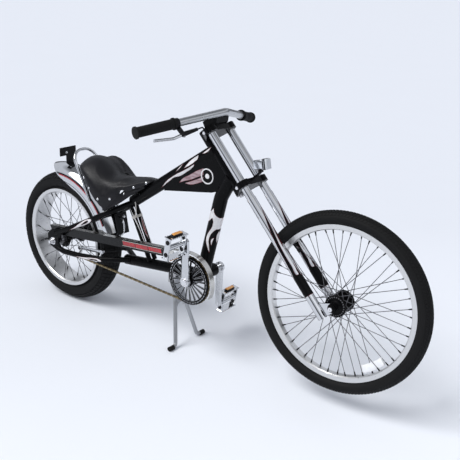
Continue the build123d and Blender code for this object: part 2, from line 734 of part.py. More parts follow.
def pedal(side):
    """Cage pedal: two toothed plates on pierced end caps, round a barrel on the spindle."""
    cage = toothed_plate(pedal_height / 2) + toothed_plate(-pedal_height / 2)
    for end in (-1, 1):
        cap = Pos(0, end * (pedal_width / 2 - 5), 0) * Box(pedal_depth - 8, 4, pedal_height)
        for way in (-1, 1):
            cap -= across(6.0, end * pedal_width / 2 - 20, end * pedal_width / 2 + 20, 0, way * pedal_height * 0.29)
        cage += cap
    cage += across(10.0, -pedal_width / 2 + 5, pedal_width / 2 - 5)
    spindle = across(spindle_end, -side * (pedal_y - arm_y + arm_thickness / 2), 0)
    return Rotation(0, pedal_lean, 0) * cage + spindle


def pedal_reflectors():
    """Two reflector blocks, on the outer face of each toothed plate."""
    blocks = []
    for way in (-1, 1):
        z = way * (pedal_height / 2 + pedal_sheet / 2 + 5)
        blocks.append(Rotation(0, pedal_lean, 0) * (Pos(0, 0, z) * Box(15, 46, 10)))
    return group(blocks)


for name, side in (("right", -1), ("left", 1)):
    save("pedal_" + name, pedal_place(side) * pedal(side))
    save("reflectors_" + name, pedal_place(side) * pedal_reflectors())

# Centre stand

keel_slope = (bb_z - keel_rear_z) / (bb_x - keel_rear_x)
pivot_z = keel_rear_z + keel_slope * (stand_pivot_x - keel_rear_x) - keel_radius - 14
pivot_pin = across(6.0, -34, 34, stand_pivot_x, pivot_z)
lugs = []
for side in (-1, 1):
    lug = Polyline((stand_pivot_x - 16, pivot_z - 12), (stand_pivot_x - 16, pivot_z + 26),
                   (stand_pivot_x + 16, pivot_z + 30), (stand_pivot_x + 16, pivot_z - 12), close=True)
    lugs.append(upright_plate(lug, side * 31, 5))
bracket_top = Pos(stand_pivot_x, 0, pivot_z + 22) * Box(32, 65, 8)
stand_bracket = (lugs[0] + lugs[1] + bracket_top + pivot_pin) - keel
save("stand_bracket", stand_bracket)

web_low_x, web_low_z = 616.0, 142.0
stand_legs = across(12.0, -27, 27, stand_pivot_x, pivot_z)
stand_legs += loft([Plane(origin=(stand_pivot_x, 0, pivot_z - 8)) * Rectangle(13, 46),
                    Plane(origin=(web_low_x, 0, web_low_z)) * Rectangle(11, 64)])
stand_legs -= across(6.0 + running_gap, -30, 30, stand_pivot_x, pivot_z)
stand_legs -= rod((web_low_x - 40, 0, web_low_z - 4), (web_low_x + 40, 0, web_low_z - 4), 23.0)
stand_legs -= Pos(web_low_x, 0, web_low_z - 20) * Box(80, 46, 40)
stand_legs = main_piece(stand_legs)
feet = []
for side in (-1, 1):
    knee = (stand_foot_x - 2, side * stand_spread, foot_radius + 2)
    toe = (stand_foot_x, side * (stand_spread + 34), foot_radius)
    stand_legs += bent_tube([(web_low_x - 2, side * 26, web_low_z + 26), knee, toe], leg_bar_radius, 12.0)
    feet.append(across(foot_radius, side * (stand_spread + 14), side * (stand_spread + 38), stand_foot_x, foot_radius))
for foot in feet:
    stand_legs -= foot
save("centre_stand", stand_legs)
save("stand_feet", group(feet))
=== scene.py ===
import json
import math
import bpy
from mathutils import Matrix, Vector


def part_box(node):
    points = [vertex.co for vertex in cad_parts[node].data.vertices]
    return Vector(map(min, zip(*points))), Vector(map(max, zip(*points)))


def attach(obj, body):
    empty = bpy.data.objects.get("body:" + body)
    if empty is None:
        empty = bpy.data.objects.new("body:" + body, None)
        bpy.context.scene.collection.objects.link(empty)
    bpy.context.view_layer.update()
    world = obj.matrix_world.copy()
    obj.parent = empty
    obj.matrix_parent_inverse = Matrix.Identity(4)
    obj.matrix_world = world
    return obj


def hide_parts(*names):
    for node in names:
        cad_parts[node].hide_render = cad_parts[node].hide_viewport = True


bl_info = {
    "name": "Chopper Bicycle Dresser",
    "version": (1, 0, 0),
    "blender": (4, 5, 0),
    "location": "3D View > Sidebar > Bicycle",
    "description": "Dresses a packed bicycle with tyres, seat, paint, chrome and small fittings",
    "category": "Object",
}

import bmesh
import bpy
from mathutils import Matrix, Vector
from mathutils.bvhtree import BVHTree

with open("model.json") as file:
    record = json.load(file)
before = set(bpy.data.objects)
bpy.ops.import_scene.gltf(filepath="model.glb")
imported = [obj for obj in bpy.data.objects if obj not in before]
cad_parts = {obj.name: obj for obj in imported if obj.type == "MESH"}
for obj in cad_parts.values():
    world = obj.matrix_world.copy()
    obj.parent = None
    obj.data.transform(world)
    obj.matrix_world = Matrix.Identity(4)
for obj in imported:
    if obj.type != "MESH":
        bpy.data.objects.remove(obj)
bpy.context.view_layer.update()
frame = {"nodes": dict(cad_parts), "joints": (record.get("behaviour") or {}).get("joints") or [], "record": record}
NODES = frame["nodes"]
JOINTS = {joint["name"]: joint for joint in frame["joints"]}


# Places on the bicycle, from the frame's joints

def joint_place(name):
    """Point on a joint's axis, and the axis."""
    joint = JOINTS[name]
    return Vector(joint["pos_m"]), Vector(joint["axis"]).normalized()


HEAD, HEAD_AXIS = joint_place("steering_turn")
FRONT_HUB, FRONT_AXIS = joint_place("front_wheel_spin")
REAR_HUB = joint_place("rear_wheel_spin")[0]
CRANK = joint_place("crank_spin")[0]


def steering_frame():
    """Local x leads off the steering axis, y is to the left along the axle, z is up the axis."""
    ahead = FRONT_AXIS.cross(HEAD_AXIS).normalized()
    turn = Matrix((ahead, FRONT_AXIS, HEAD_AXIS)).transposed().to_4x4()
    return Matrix.Translation(HEAD) @ turn


STEER = steering_frame()
AHEAD = (STEER.inverted() @ FRONT_HUB).x
FRONT_WHEEL = STEER @ Matrix.Translation((AHEAD, 0, 0))
REAR_WHEEL = Matrix.Translation(REAR_HUB)


def bike(x, y, z):
    """Point from millimetres ahead of the rear axle, to the rider's left and above the floor."""
    return Vector((REAR_HUB.x + x / 1000, y / 1000, z / 1000))


def steer(x, y, z):
    """Point from millimetres in the steering frame."""
    return STEER @ Vector((x / 1000, y / 1000, z / 1000))


# Making and finishing meshes

def new_piece(name, bm, body, finish, matrix=None, hides=(), slot=None, sharp=40.0):
    """Turns a bmesh into a finished piece on a body; its slot argument is not used."""
    bmesh.ops.remove_doubles(bm, verts=bm.verts, dist=1e-6)
    bmesh.ops.recalc_face_normals(bm, faces=bm.faces)
    mesh = bpy.data.meshes.new(name)
    bm.to_mesh(mesh)
    bm.free()
    if matrix is not None:
        mesh.transform(matrix)
    obj = bpy.data.objects.new(name, mesh)
    bpy.context.scene.collection.objects.link(obj)
    finishes = [finish] if isinstance(finish, str) else finish
    for one in finishes:
        mesh.materials.append(MATERIALS[one])
    mesh.shade_smooth()
    mesh.set_sharp_from_angle(angle=math.radians(sharp))
    slot = slot or finishes[0]
    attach(obj, body)
    if hides:
        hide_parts(*hides)


def bevel(bm, edges, width, segments=2):
    """Rounds edges."""
    bmesh.ops.bevel(bm, geom=edges, offset=width, offset_type="OFFSET", affect="EDGES",
                    segments=segments, profile=0.5, material=-1, clamp_overlap=True)


def sharp_edges(bm, limit=30.0):
    """Edges that turn by more than the limit."""
    return [edge for edge in bm.edges if len(edge.link_faces) == 2
            and edge.calc_face_angle(0) > math.radians(limit)]


def add_box(bm, size, centre=(0, 0, 0), turn=None):
    """Adds a box."""
    place = Matrix.Translation(centre)
    if turn is not None:
        place = place @ turn
    scale = Matrix.Diagonal((*size, 1))
    return bmesh.ops.create_cube(bm, size=1.0, matrix=place @ scale)["verts"]


def add_rod(bm, start, end, radius, sides=16, radius_end=None):
    """Adds a capped round bar between two points."""
    start, end = Vector(start), Vector(end)
    along = end - start
    place = Matrix.Translation((start + end) / 2) @ along.to_track_quat("Z", "Y").to_matrix().to_4x4()
    tail = radius if radius_end is None else radius_end
    return bmesh.ops.create_cone(bm, cap_ends=True, segments=sides, radius1=radius, radius2=tail,
                                 depth=along.length, matrix=place)["verts"]


def add_ring(bm, outline, steps, centre=(0, 0, 0), closed=True):
    """Spins an outline of (radius, y) points about the Y axis through the centre."""
    verts = [bm.verts.new((centre[0] + r, centre[1] + y, centre[2])) for r, y in outline]
    pairs = zip(verts, verts[1:] + verts[:1]) if closed else zip(verts, verts[1:])
    edges = [bm.edges.new(pair) for pair in pairs]
    bmesh.ops.spin(bm, geom=verts + edges, cent=centre, axis=(0, 1, 0), dvec=(0, 0, 0), angle=2 * math.pi,
                   steps=steps, use_merge=True, use_normal_flip=False, use_duplicate=False)


def add_hex(bm, start, end, radius):
    """Adds a hexagon nut or bolt head with softened corners."""
    verts = add_rod(bm, start, end, radius, 6)
    edges = list(dict.fromkeys(edge for vert in verts for edge in vert.link_edges))
    bevel(bm, edges, radius * 0.09, 1)


def add_dome(bm, base, out, radius, height):
    """Adds a low dome that stands on a surface, with its foot a little inside."""
    out = Vector(out).normalized()
    turn = out.to_track_quat("Z", "Y").to_matrix().to_4x4()
    place = Matrix.Translation(Vector(base)) @ turn @ Matrix.Diagonal((radius, radius, height, 1))
    bmesh.ops.create_uvsphere(bm, u_segments=14, v_segments=8, radius=1.0, matrix=place)


def join_in(bm, other, mirror=False):
    """Adds another mesh, or its mirror image on the other side of the bicycle."""
    mesh = bpy.data.meshes.new("joined")
    other.to_mesh(mesh)
    if mirror:
        mesh.transform(Matrix.Diagonal((1, -1, 1, 1)))
    bm.from_mesh(mesh)
    bpy.data.meshes.remove(mesh)


def add_curve(bm, curve):
    """Adds a curve's mesh, and removes the curve."""
    holder = bpy.data.objects.new("holder", curve)
    mesh = bpy.data.meshes.new_from_object(holder)
    bm.from_mesh(mesh)
    bpy.data.meshes.remove(mesh)
    bpy.data.objects.remove(holder)
    bpy.data.curves.remove(curve)


DECAL_LIFT = 0.0005
DECAL_THICKNESS = 0.0003


def flat_shape(outlines, scale, edge=0.0):
    """Filled flat mesh of closed smooth outlines; a third value makes a point sharp, an edge gets slot 1."""
    curve = bpy.data.curves.new("outline", "CURVE")
    curve.dimensions = "2D"
    curve.fill_mode = "FRONT"
    curve.resolution_u = 6
    for outline in outlines:
        spline = curve.splines.new("BEZIER")
        spline.bezier_points.add(len(outline) - 1)
        for point, (along, across, *corner) in zip(spline.bezier_points, outline):
            point.co = (along * scale[0], across * scale[1], 0)
            point.handle_left_type = point.handle_right_type = "VECTOR" if corner else "AUTO"
        spline.use_cyclic_u = True
    bm = bmesh.new()
    add_curve(bm, curve)
    bmesh.ops.remove_doubles(bm, verts=bm.verts, dist=1e-6)
    if edge:
        for face in bmesh.ops.inset_region(bm, faces=bm.faces[:], thickness=edge, use_boundary=True,
                                           use_even_offset=False)["faces"]:
            face.material_index = 1
    return bm


def cut_across(bm, step):
    """Cuts a flat shape into strips along X, so that it can bend."""
    low = min(vert.co.y for vert in bm.verts)
    high = max(vert.co.y for vert in bm.verts)
    place = math.ceil(low / step) * step
    while place < high:
        bmesh.ops.bisect_plane(bm, geom=bm.verts[:] + bm.edges[:] + bm.faces[:], dist=1e-7,
                               plane_co=(0, place, 0), plane_no=(0, 1, 0))
        place += step


def wrap(bm, start, end, radius, facing):
    """Bends a flat shape round a straight tube: along it from the start, round it from the facing side."""
    cut_across(bm, radius * 0.16)
    axis = (end - start).normalized()
    first = (facing - axis * facing.dot(axis)).normalized()
    second = axis.cross(first)
    for vert in bm.verts:
        turn = vert.co.y / radius
        out = first * math.cos(turn) + second * math.sin(turn)
        vert.co = start + axis * vert.co.x + out * (radius + DECAL_LIFT)
    bmesh.ops.solidify(bm, geom=bm.faces[:], thickness=DECAL_THICKNESS)


def tube_flames(name, body, start, end, radius, facing, shapes, edge, finishes, mirror=False):
    """Flames round one tube; each shape is a list of outlines of (millimetres along, degrees round)."""
    bm = bmesh.new()
    for outlines in shapes:
        flat = flat_shape(outlines, (0.001, radius * math.radians(1)), edge)
        wrap(flat, start, end, radius, facing)
        join_in(bm, flat)
        if mirror:
            join_in(bm, flat, mirror=True)
        flat.free()
    new_piece(name, bm, body, finishes, slot="frame_paint", sharp=30.0)


# Node materials

NOISE_ROUGHNESS = 0.55


def feed(tree, node, **inputs):
    """Sets a node's inputs by name: a socket is linked, anything else goes in as a constant."""
    for key, value in inputs.items():
        socket = node.inputs[key.replace("_", " ")]
        if isinstance(value, bpy.types.NodeSocket):
            tree.links.new(value, socket)
        else:
            socket.default_value = value


def shader(name):
    """New material with its node tree, its shader and a place in object space."""
    mat = bpy.data.materials.new(name)
    mat.use_nodes = True
    tree = mat.node_tree
    return mat, tree, tree.nodes["Principled BSDF"], tree.nodes.new("ShaderNodeTexCoord").outputs["Object"]


def noise(tree, coords, scale, detail):
    """Soft random cloud."""
    node = tree.nodes.new("ShaderNodeTexNoise")
    feed(tree, node, Scale=scale, Detail=detail, Roughness=NOISE_ROUGHNESS, Vector=coords)
    return node.outputs["Fac"]


def cells(tree, coords, scale, feature="F1"):
    """Distance in a pattern of small cells."""
    node = tree.nodes.new("ShaderNodeTexVoronoi")
    node.feature = feature
    feed(tree, node, Scale=scale, Vector=coords)
    return node.outputs["Distance"]


def remap(tree, value, low, high, from_low=0.3, from_high=0.7):
    """Brings a value from one range to another."""
    node = tree.nodes.new("ShaderNodeMapRange")
    feed(tree, node, Value=value, From_Min=from_low, From_Max=from_high, To_Min=low, To_Max=high)
    return node.outputs["Result"]


def maths(tree, kind, *values):
    """One Math node; a plain number goes in as a constant."""
    node = tree.nodes.new("ShaderNodeMath")
    node.operation = kind
    for socket, value in zip(node.inputs, values):
        if isinstance(value, (int, float)):
            socket.default_value = value
        else:
            tree.links.new(value, socket)
    return node.outputs["Value"]


def split_axes(tree, coords):
    """The three coordinates of a place, by name."""
    node = tree.nodes.new("ShaderNodeSeparateXYZ")
    tree.links.new(coords, node.inputs[0])
    return node.outputs


def blend_colours(tree, factor, first, second):
    """Mixes two colours; each is a plain colour or a socket."""
    node = tree.nodes.new("ShaderNodeMix")
    node.data_type = "RGBA"
    tree.links.new(factor, node.inputs["Factor"])
    for key, colour in (("A", first), ("B", second)):
        socket = [s for s in node.inputs if s.name == key and s.type == "RGBA"][0]
        if isinstance(colour, bpy.types.NodeSocket):
            tree.links.new(colour, socket)
        else:
            socket.default_value = (*tuple(colour)[:3], 1.0)
    return [s for s in node.outputs if s.type == "RGBA"][0]


def shade(colour, share):
    """A colour at a share of its brightness."""
    return tuple(part * share for part in colour)


def bump(tree, bsdf, height, strength, distance):
    """Gives a shader's surface fine relief."""
    node = tree.nodes.new("ShaderNodeBump")
    feed(tree, node, Strength=strength, Distance=distance, Height=height)
    feed(tree, bsdf, Normal=node.outputs["Normal"])


def metal(name, colour, roughness, smear=0.06, scale=60.0, tint=0.85, bump_height=0.00002):
    """Bare or plated metal with faint smears in its polish."""
    mat, tree, bsdf, coords = shader(name)
    cloud = noise(tree, coords, scale, 4.0)
    fine = noise(tree, coords, scale * 14, 2.0)
    feed(tree, bsdf, Metallic=1.0, Base_Color=blend_colours(tree, cloud, shade(colour, tint), colour),
         Roughness=remap(tree, cloud, max(roughness - smear, 0.03), roughness + smear))
    bump(tree, bsdf, fine, 0.15, bump_height)
    return mat


def paint(name, colour):
    """Gloss paint under a clear coat, with dust and a little orange peel."""
    mat, tree, bsdf, coords = shader(name)
    dust = noise(tree, coords, 35.0, 5.0)
    peel = noise(tree, coords, 420.0, 1.0)
    light = tuple(min(part + 0.001, 1.0) for part in colour)
    feed(tree, bsdf, Base_Color=blend_colours(tree, dust, colour, light),
         Roughness=remap(tree, dust, 0.24, 0.34),
         Specular_IOR_Level=0.05, Coat_Weight=0.05, Coat_Roughness=0.05)
    bump(tree, bsdf, peel, 0.08, 0.00004)
    return mat


def plastic(name, colour, roughness, grain=900.0, depth=0.00006):
    """Moulded plastic or rubber with a fine grain."""
    mat, tree, bsdf, coords = shader(name)
    cloud = noise(tree, coords, 40.0, 4.0)
    fine = noise(tree, coords, grain, 2.0)
    light = tuple(min(part * 1.5 + 0.002, 1.0) for part in colour)
    feed(tree, bsdf, Base_Color=blend_colours(tree, cloud, colour, light),
         Roughness=remap(tree, cloud, roughness - 0.06, roughness + 0.08), Specular_IOR_Level=0.12)
    bump(tree, bsdf, fine, 0.4, depth)
    return mat


def seat_vinyl():
    """Black vinyl with a pebbled grain and soft creases."""
    mat, tree, bsdf, coords = shader("seat_vinyl")
    grain = remap(tree, cells(tree, coords, 900.0, "DISTANCE_TO_EDGE"), 0.0, 1.0, 0.0, 0.25)
    crease = noise(tree, coords, 26.0, 4.0)
    worn = noise(tree, coords, 9.0, 5.0)
    feed(tree, bsdf, Base_Color=blend_colours(tree, worn, (0.006, 0.006, 0.007), (0.013, 0.013, 0.016)),
         Roughness=remap(tree, worn, 0.33, 0.46), Specular_IOR_Level=0.22)
    height = maths(tree, "ADD", maths(tree, "MULTIPLY", grain, 0.35), maths(tree, "MULTIPLY", crease, 4.0))
    bump(tree, bsdf, height, 0.5, 0.0004)
    return mat


def amber_lens():
    """Amber plastic with a fine prism pattern behind its face."""
    mat, tree, bsdf, coords = shader("amber_lens")
    prism = cells(tree, coords, 420.0)
    share = remap(tree, prism, 0.0, 1.0, 0.1, 0.8)
    feed(tree, bsdf, Base_Color=blend_colours(tree, share, (0.62, 0.22, 0.02), (0.9, 0.42, 0.09)),
         Roughness=0.15, Coat_Weight=1.0, Coat_Roughness=0.04)
    bump(tree, bsdf, prism, 0.4, 0.0006)
    return mat


def transfer(name, colour, streak, scale=60.0):
    """Printed transfer under the clear coat, with streaks of a second tone."""
    mat, tree, bsdf, coords = shader(name)
    stretch = tree.nodes.new("ShaderNodeMapping")
    feed(tree, stretch, Scale=(0.4, 1.0, 1.6), Vector=coords)
    cloud = noise(tree, stretch.outputs["Vector"], scale, 5.0)
    feed(tree, bsdf, Base_Color=blend_colours(tree, remap(tree, cloud, 0.0, 1.0, 0.4, 0.62), colour, streak),
         Roughness=remap(tree, cloud, 0.22, 0.34), Coat_Weight=0.4, Coat_Roughness=0.05)
    return mat


def clear_lens():
    """Clear moulded plastic with fine ribs inside."""
    mat, tree, bsdf, coords = shader("clear_lens")
    wave = tree.nodes.new("ShaderNodeTexWave")
    wave.bands_direction = "Z"
    feed(tree, wave, Scale=160.0, Vector=coords)
    ribs = wave.outputs["Fac"]
    feed(tree, bsdf, Base_Color=(0.86, 0.9, 0.95, 1), Roughness=remap(tree, ribs, 0.08, 0.18, 0.0, 1.0),
         Transmission_Weight=0.35, IOR=1.45)
    bump(tree, bsdf, ribs, 0.3, 0.0004)
    return mat


GUARD_FACE_Y = -0.0825


def guard_finish(look):
    """Black enamel on the guard's side face, light metal on its lip and round the ring."""
    mat, tree, bsdf, coords = shader("guard_two_tone")
    axes = split_axes(tree, coords)
    face_plane = GUARD_FACE_Y + 0.0004
    ring_start = CRANK.x - 0.115
    on_face = maths(tree, "LESS_THAN", axes["Y"], face_plane)
    before_ring = maths(tree, "LESS_THAN", axes["X"], ring_start)
    painted = maths(tree, "MULTIPLY", on_face, before_ring)
    cloud = noise(tree, coords, 45.0, 4.0)
    bare = blend_colours(tree, cloud, (0.50, 0.49, 0.47), (0.68, 0.67, 0.64))
    feed(tree, bsdf, Base_Color=blend_colours(tree, painted, bare, look.frame_colour),
         Metallic=maths(tree, "SUBTRACT", 1.0, painted),
         Roughness=remap(tree, cloud, 0.2, 0.3), Specular_IOR_Level=0.25)
    bump(tree, bsdf, noise(tree, coords, 500.0, 1.0), 0.1, 0.00003)
    return mat


MATERIALS = {}


def make_materials(look):
    """Builds the finishes shared by many pieces."""
    MATERIALS.update({
        "tyre": plastic("tyre_rubber", look.tyre_colour, 0.62, 700.0, 0.0002),
        "rim": metal("rim_satin", look.rim_colour, 0.32),
        "spoke": metal("spoke_dark", (0.16, 0.16, 0.17), 0.35),
        "black_paint": paint("black_enamel", look.frame_colour),
        "frame_paint": paint("frame_enamel", look.frame_colour),
        "bright_steel": metal("nut_plating", (0.78, 0.78, 0.8), 0.2),
        "steel": metal("plain_steel", (0.5, 0.5, 0.52), 0.38),
        "gold_chain": metal("chain_brass_plate", look.chain_colour, 0.35, tint=0.5, scale=300.0),
        "polished": metal("crank_polish", (0.64, 0.65, 0.67), 0.24),
        "chrome": metal("chrome_plate", (0.66, 0.67, 0.69), 0.08, smear=0.03),
        "guard": guard_finish(look),
        "black_plastic": plastic("black_plastic", (0.006, 0.006, 0.007), 0.4),
        "seat_cover": seat_vinyl(),
        "bar_alloy": metal("bar_satin", (0.50, 0.51, 0.52), 0.3),
        "grip_rubber": plastic("grip_rubber", (0.007, 0.007, 0.007), 0.6),
        "foot_rubber": plastic("foot_rubber", (0.008, 0.008, 0.008), 0.65),
        "reflector": amber_lens(),
        "oiled_steel": metal("oiled_steel", (0.16, 0.13, 0.08), 0.4),
        "mirror": metal("lamp_mirror", (0.8, 0.82, 0.85), 0.12, smear=0.04),
        "flame": transfer("flame_white", look.flame_colour, shade(look.flame_colour, 0.8)),
        "flame_edge": transfer("flame_red_line", look.edge_colour, shade(look.edge_colour, 0.5)),
        "flame_shade": transfer("flame_pink_silver", (0.40, 0.30, 0.32), (0.20, 0.11, 0.125), 90.0),
        "guard_red": transfer("guard_red", (0.42, 0.012, 0.02), (0.25, 0.006, 0.012), 140.0),
        "line": transfer("guard_line", (0.6, 0.58, 0.54), (0.45, 0.43, 0.4)),
        "black_transfer": paint("fork_black", look.frame_colour),
        "clear": clear_lens(),
        "white_lens": plastic("white_lens", (0.75, 0.77, 0.8), 0.3, 300.0),
        "lamp": metal("lamp_silver", (0.75, 0.78, 0.82), 0.18),
        "cast_alloy": metal("stand_casting", (0.42, 0.43, 0.45), 0.42, scale=120.0, bump_height=0.0001),
    })


class BicycleLook(bpy.types.PropertyGroup):
    """Colours that a user would change."""
    frame_colour: bpy.props.FloatVectorProperty(
        name="Frame colour", description="Gloss enamel of the frame and clamps",
        default=(0.003, 0.003, 0.0035), subtype="COLOR", min=0, max=1)
    tyre_colour: bpy.props.FloatVectorProperty(
        name="Tyre colour", description="Rubber of both tyres",
        default=(0.006, 0.006, 0.0063), subtype="COLOR", min=0, max=1)
    rim_colour: bpy.props.FloatVectorProperty(
        name="Rim colour", description="Satin metal of both rims",
        default=(0.72, 0.72, 0.72), subtype="COLOR", min=0, max=1)
    chain_colour: bpy.props.FloatVectorProperty(
        name="Chain colour", description="Plating of the chain",
        default=(0.55, 0.43, 0.24), subtype="COLOR", min=0, max=1)
    flame_colour: bpy.props.FloatVectorProperty(
        name="Flame colour", description="Pale transfers on the black tubes",
        default=(0.80, 0.79, 0.80), subtype="COLOR", min=0, max=1)
    edge_colour: bpy.props.FloatVectorProperty(
        name="Edge colour", description="Thin line round each flame",
        default=(0.25, 0.035, 0.04), subtype="COLOR", min=0, max=1)
    # painted light: the floor's colour towards the camera, painted brighter where the lamps light it most
    near_floor_painted_light: bpy.props.FloatVectorProperty(
        name="Near floor", description="Colour of the floor towards the camera", subtype="COLOR",
        default=(0.90, 0.925, 0.975), min=0, max=1)
    # painted shade: the floor's colour far beyond the bicycle and far behind the camera, painted darker
    far_floor_painted_shade: bpy.props.FloatVectorProperty(
        name="Floor colour", description="Seamless sweep under the bicycle",
        default=(0.755, 0.78, 0.835), subtype="COLOR", min=0, max=1)


class BICYCLE_OT_materials(bpy.types.Operator):
    """Gives every CAD node its finish"""
    bl_idname = "bicycle.materials"
    bl_label = "Finishes"

    def execute(self, context):
        make_materials(context.scene.bicycle_look)
        slots = {part["node"]: part["material_slot"] for part in frame["record"]["subparts"]}
        for name, node in NODES.items():
            node.data.materials.clear()
            node.data.materials.append(MATERIALS[slots[name]])
        return {"FINISHED"}


# name, turn in degrees, strength, angular width in degrees
LAMPS = (
    ("key", (38, 0, -28), 2.35, 34),
    ("fill", (62, 0, 80), 0.35, 60),
)
SKY = (0.79, 0.825, 0.90)
# height of a direction, 0 straight down and 1 straight up, and its brightness, for light and reflections
SKY_BANDS = ((0.0, 0.5), (0.49, 0.5), (0.51, 0.12), (0.62, 0.10),
             (0.68, 0.86), (0.82, 0.94), (0.90, 0.22), (1.0, 0.46))
# the camera that stands where the photograph was taken: roll in degrees, lens in millimetres
EYE = Vector((1.60699, -1.879, 1.33938))
LOOK_ALONG = Vector((-0.56972, 0.75121, -0.33332))
ROLL = 2.395
LENS = 56.307


class BICYCLE_OT_stage(bpy.types.Operator):
    """Builds the sweep, the lamps and the camera"""
    bl_idname = "bicycle.stage"
    bl_label = "Stage"

    def execute(self, context):
        scene = context.scene
        scene.view_settings.view_transform = "Standard"
        self.sweep(scene, scene.bicycle_look)
        self.light_world(scene)
        for name, turn, strength, angle in LAMPS:
            data = bpy.data.lights.new(name, "SUN")
            data.energy = strength
            data.angle = math.radians(angle)
            lamp = bpy.data.objects.new(name, data)
            lamp.rotation_euler = [math.radians(part) for part in turn]
            scene.collection.objects.link(lamp)
        camera = bpy.data.cameras.new("photo_view")
        camera.lens = LENS
        camera.sensor_width = 36.0
        eye = bpy.data.objects.new("photo_view", camera)
        turn = LOOK_ALONG.to_track_quat("-Z", "Y").to_matrix() @ Matrix.Rotation(math.radians(ROLL), 3, "Z")
        eye.matrix_world = Matrix.Translation(EYE) @ turn.to_4x4()
        scene.collection.objects.link(eye)
        scene.camera = eye
        return {"FINISHED"}

    def sweep(self, scene, look):
        """Seamless floor with painted light: painted brighter before the camera, and darker with painted shade
        beyond the bicycle and far behind the camera.
        """
        bm = bmesh.new()
        bmesh.ops.create_grid(bm, x_segments=1, y_segments=1, size=300.0)
        mesh = bpy.data.meshes.new("floor")
        bm.to_mesh(mesh)
        bm.free()
        floor = bpy.data.objects.new("floor", mesh)
        scene.collection.objects.link(floor)
        mat, tree, bsdf, coords = shader("sweep")
        cloud = noise(tree, coords, 1.5, 2.0)
        axes = split_axes(tree, coords)
        # painted light and shade: the floor's colour goes from painted light near the camera to painted shade far
        # away
        depth = maths(tree, "SUBTRACT", axes["Y"], axes["X"])
        away = remap(tree, depth, 0.0, 1.0, -1.6, 1.9)
        beyond = remap(tree, depth, 1.0, 0.0, -7.0, -4.0)
        away = maths(tree, "MAXIMUM", away, beyond)
        plain = blend_colours(tree, away, look.near_floor_painted_light, look.far_floor_painted_shade)
        dust = maths(tree, "MULTIPLY", cloud, 0.06)
        feed(tree, bsdf, Base_Color=blend_colours(tree, dust, plain, (0.6, 0.62, 0.66)),
             Roughness=0.95, Specular_IOR_Level=0.1)
        mesh.materials.append(mat)

    def light_world(self, scene):
        """Pale studio: banded like soft boxes for light and gloss, plain where the camera looks."""
        world = bpy.data.worlds.new("studio")
        scene.world = world
        world.use_nodes = True
        tree = world.node_tree
        lit = tree.nodes["Background"]
        seen = tree.nodes.new("ShaderNodeBackground")
        feed(tree, seen, Color=(*SKY, 1), Strength=1.0)
        directions = tree.nodes.new("ShaderNodeTexCoord").outputs["Generated"]
        ramp = tree.nodes.new("ShaderNodeValToRGB")
        while len(ramp.color_ramp.elements) < len(SKY_BANDS):
            ramp.color_ramp.elements.new(0.5)
        for element, (height, level) in zip(ramp.color_ramp.elements, SKY_BANDS):
            element.position = height
            element.color = (*shade(SKY, level), 1)
        feed(tree, ramp, Fac=maths(tree, "MULTIPLY_ADD", split_axes(tree, directions)["Z"], 0.5, 0.5))
        feed(tree, lit, Color=ramp.outputs["Color"], Strength=1.0)
        path = tree.nodes.new("ShaderNodeLightPath")
        mix = tree.nodes.new("ShaderNodeMixShader")
        tree.links.new(path.outputs["Is Camera Ray"], mix.inputs[0])
        tree.links.new(lit.outputs[0], mix.inputs[1])
        tree.links.new(seen.outputs[0], mix.inputs[2])
        feed(tree, tree.nodes["World Output"], Surface=mix.outputs[0])


# Tyres

# sidewall, as (share of the height above the flange, share of the half width)
SIDEWALL = ((0.10, 0.74), (0.24, 0.93), (0.44, 0.995), (0.60, 0.965))
TREAD_ROWS = 3
# name, place, radius, half width, flange's radius, bead's half width, steps round, blocks' depth, and the
# tread's lean in degrees
TYRES = (
    ("front", FRONT_WHEEL, 0.305, 0.027, 0.261, 0.0123, 160, 0.0012, 3.5),
    ("rear", REAR_WHEEL, 0.275, 0.049, 0.209, 0.0423, 84, 0.0028, 1.5),
)


def tyre_mesh(radius, half_width, flange, bead, steps, block_depth, lean):
    """Tyre skin whose tread faces are set proud as blocks; the lean shifts them round the wheel."""
    bm = bmesh.new()
    height = radius - flange
    tread = radius - block_depth
    outline = [(flange - 0.004, bead), (flange + 0.0006, bead)]
    outline += [(flange + rise * height, half_width * out) for rise, out in SIDEWALL]
    shoulder = flange + 0.60 * height
    crown_height = tread - shoulder
    for row in range(TREAD_ROWS + 1):
        across = half_width * 0.90 * (1 - row / TREAD_ROWS)
        rise = crown_height * (1 - (across / (half_width * 0.94)) ** 2.2)
        outline.append((shoulder + max(rise, 0.12 * crown_height), across))
    outline += [(r, -y) for r, y in reversed(outline[:-1])]
    add_ring(bm, outline, steps, closed=False)
    bmesh.ops.recalc_face_normals(bm, faces=bm.faces)
    limit = half_width * 0.905
    inner = flange + 0.62 * height
    for vert in bm.verts:
        away = math.hypot(vert.co.x, vert.co.z)
        if away > inner and abs(vert.co.y) < limit:
            angle = math.radians(lean) * (1 - abs(vert.co.y) / limit)
            vert.co = Matrix.Rotation(angle, 3, "Y") @ vert.co
    blocks = [face for face in bm.faces
              if all(abs(v.co.y) < limit and math.hypot(v.co.x, v.co.z) > inner for v in face.verts)]
    for thickness, depth in ((0.0011, 0.0), (0.0004, block_depth)):
        bmesh.ops.inset_individual(bm, faces=blocks, thickness=thickness, depth=depth, use_even_offset=True)
    return bm


class BICYCLE_OT_tyres(bpy.types.Operator):
    """Makes both tyres with their treads"""
    bl_idname = "bicycle.tyres"
    bl_label = "Tyres"

    def execute(self, context):
        for name, place, *sizes in TYRES:
            skin = tyre_mesh(*sizes)
            new_piece(name + "_tyre_skin", skin, name + "_wheel", "tyre", place, (name + "_tyre",))
        return {"FINISHED"}


# Flames and stripes, as (millimetres along the tube, degrees round from the near side, 1 at a sharp point)

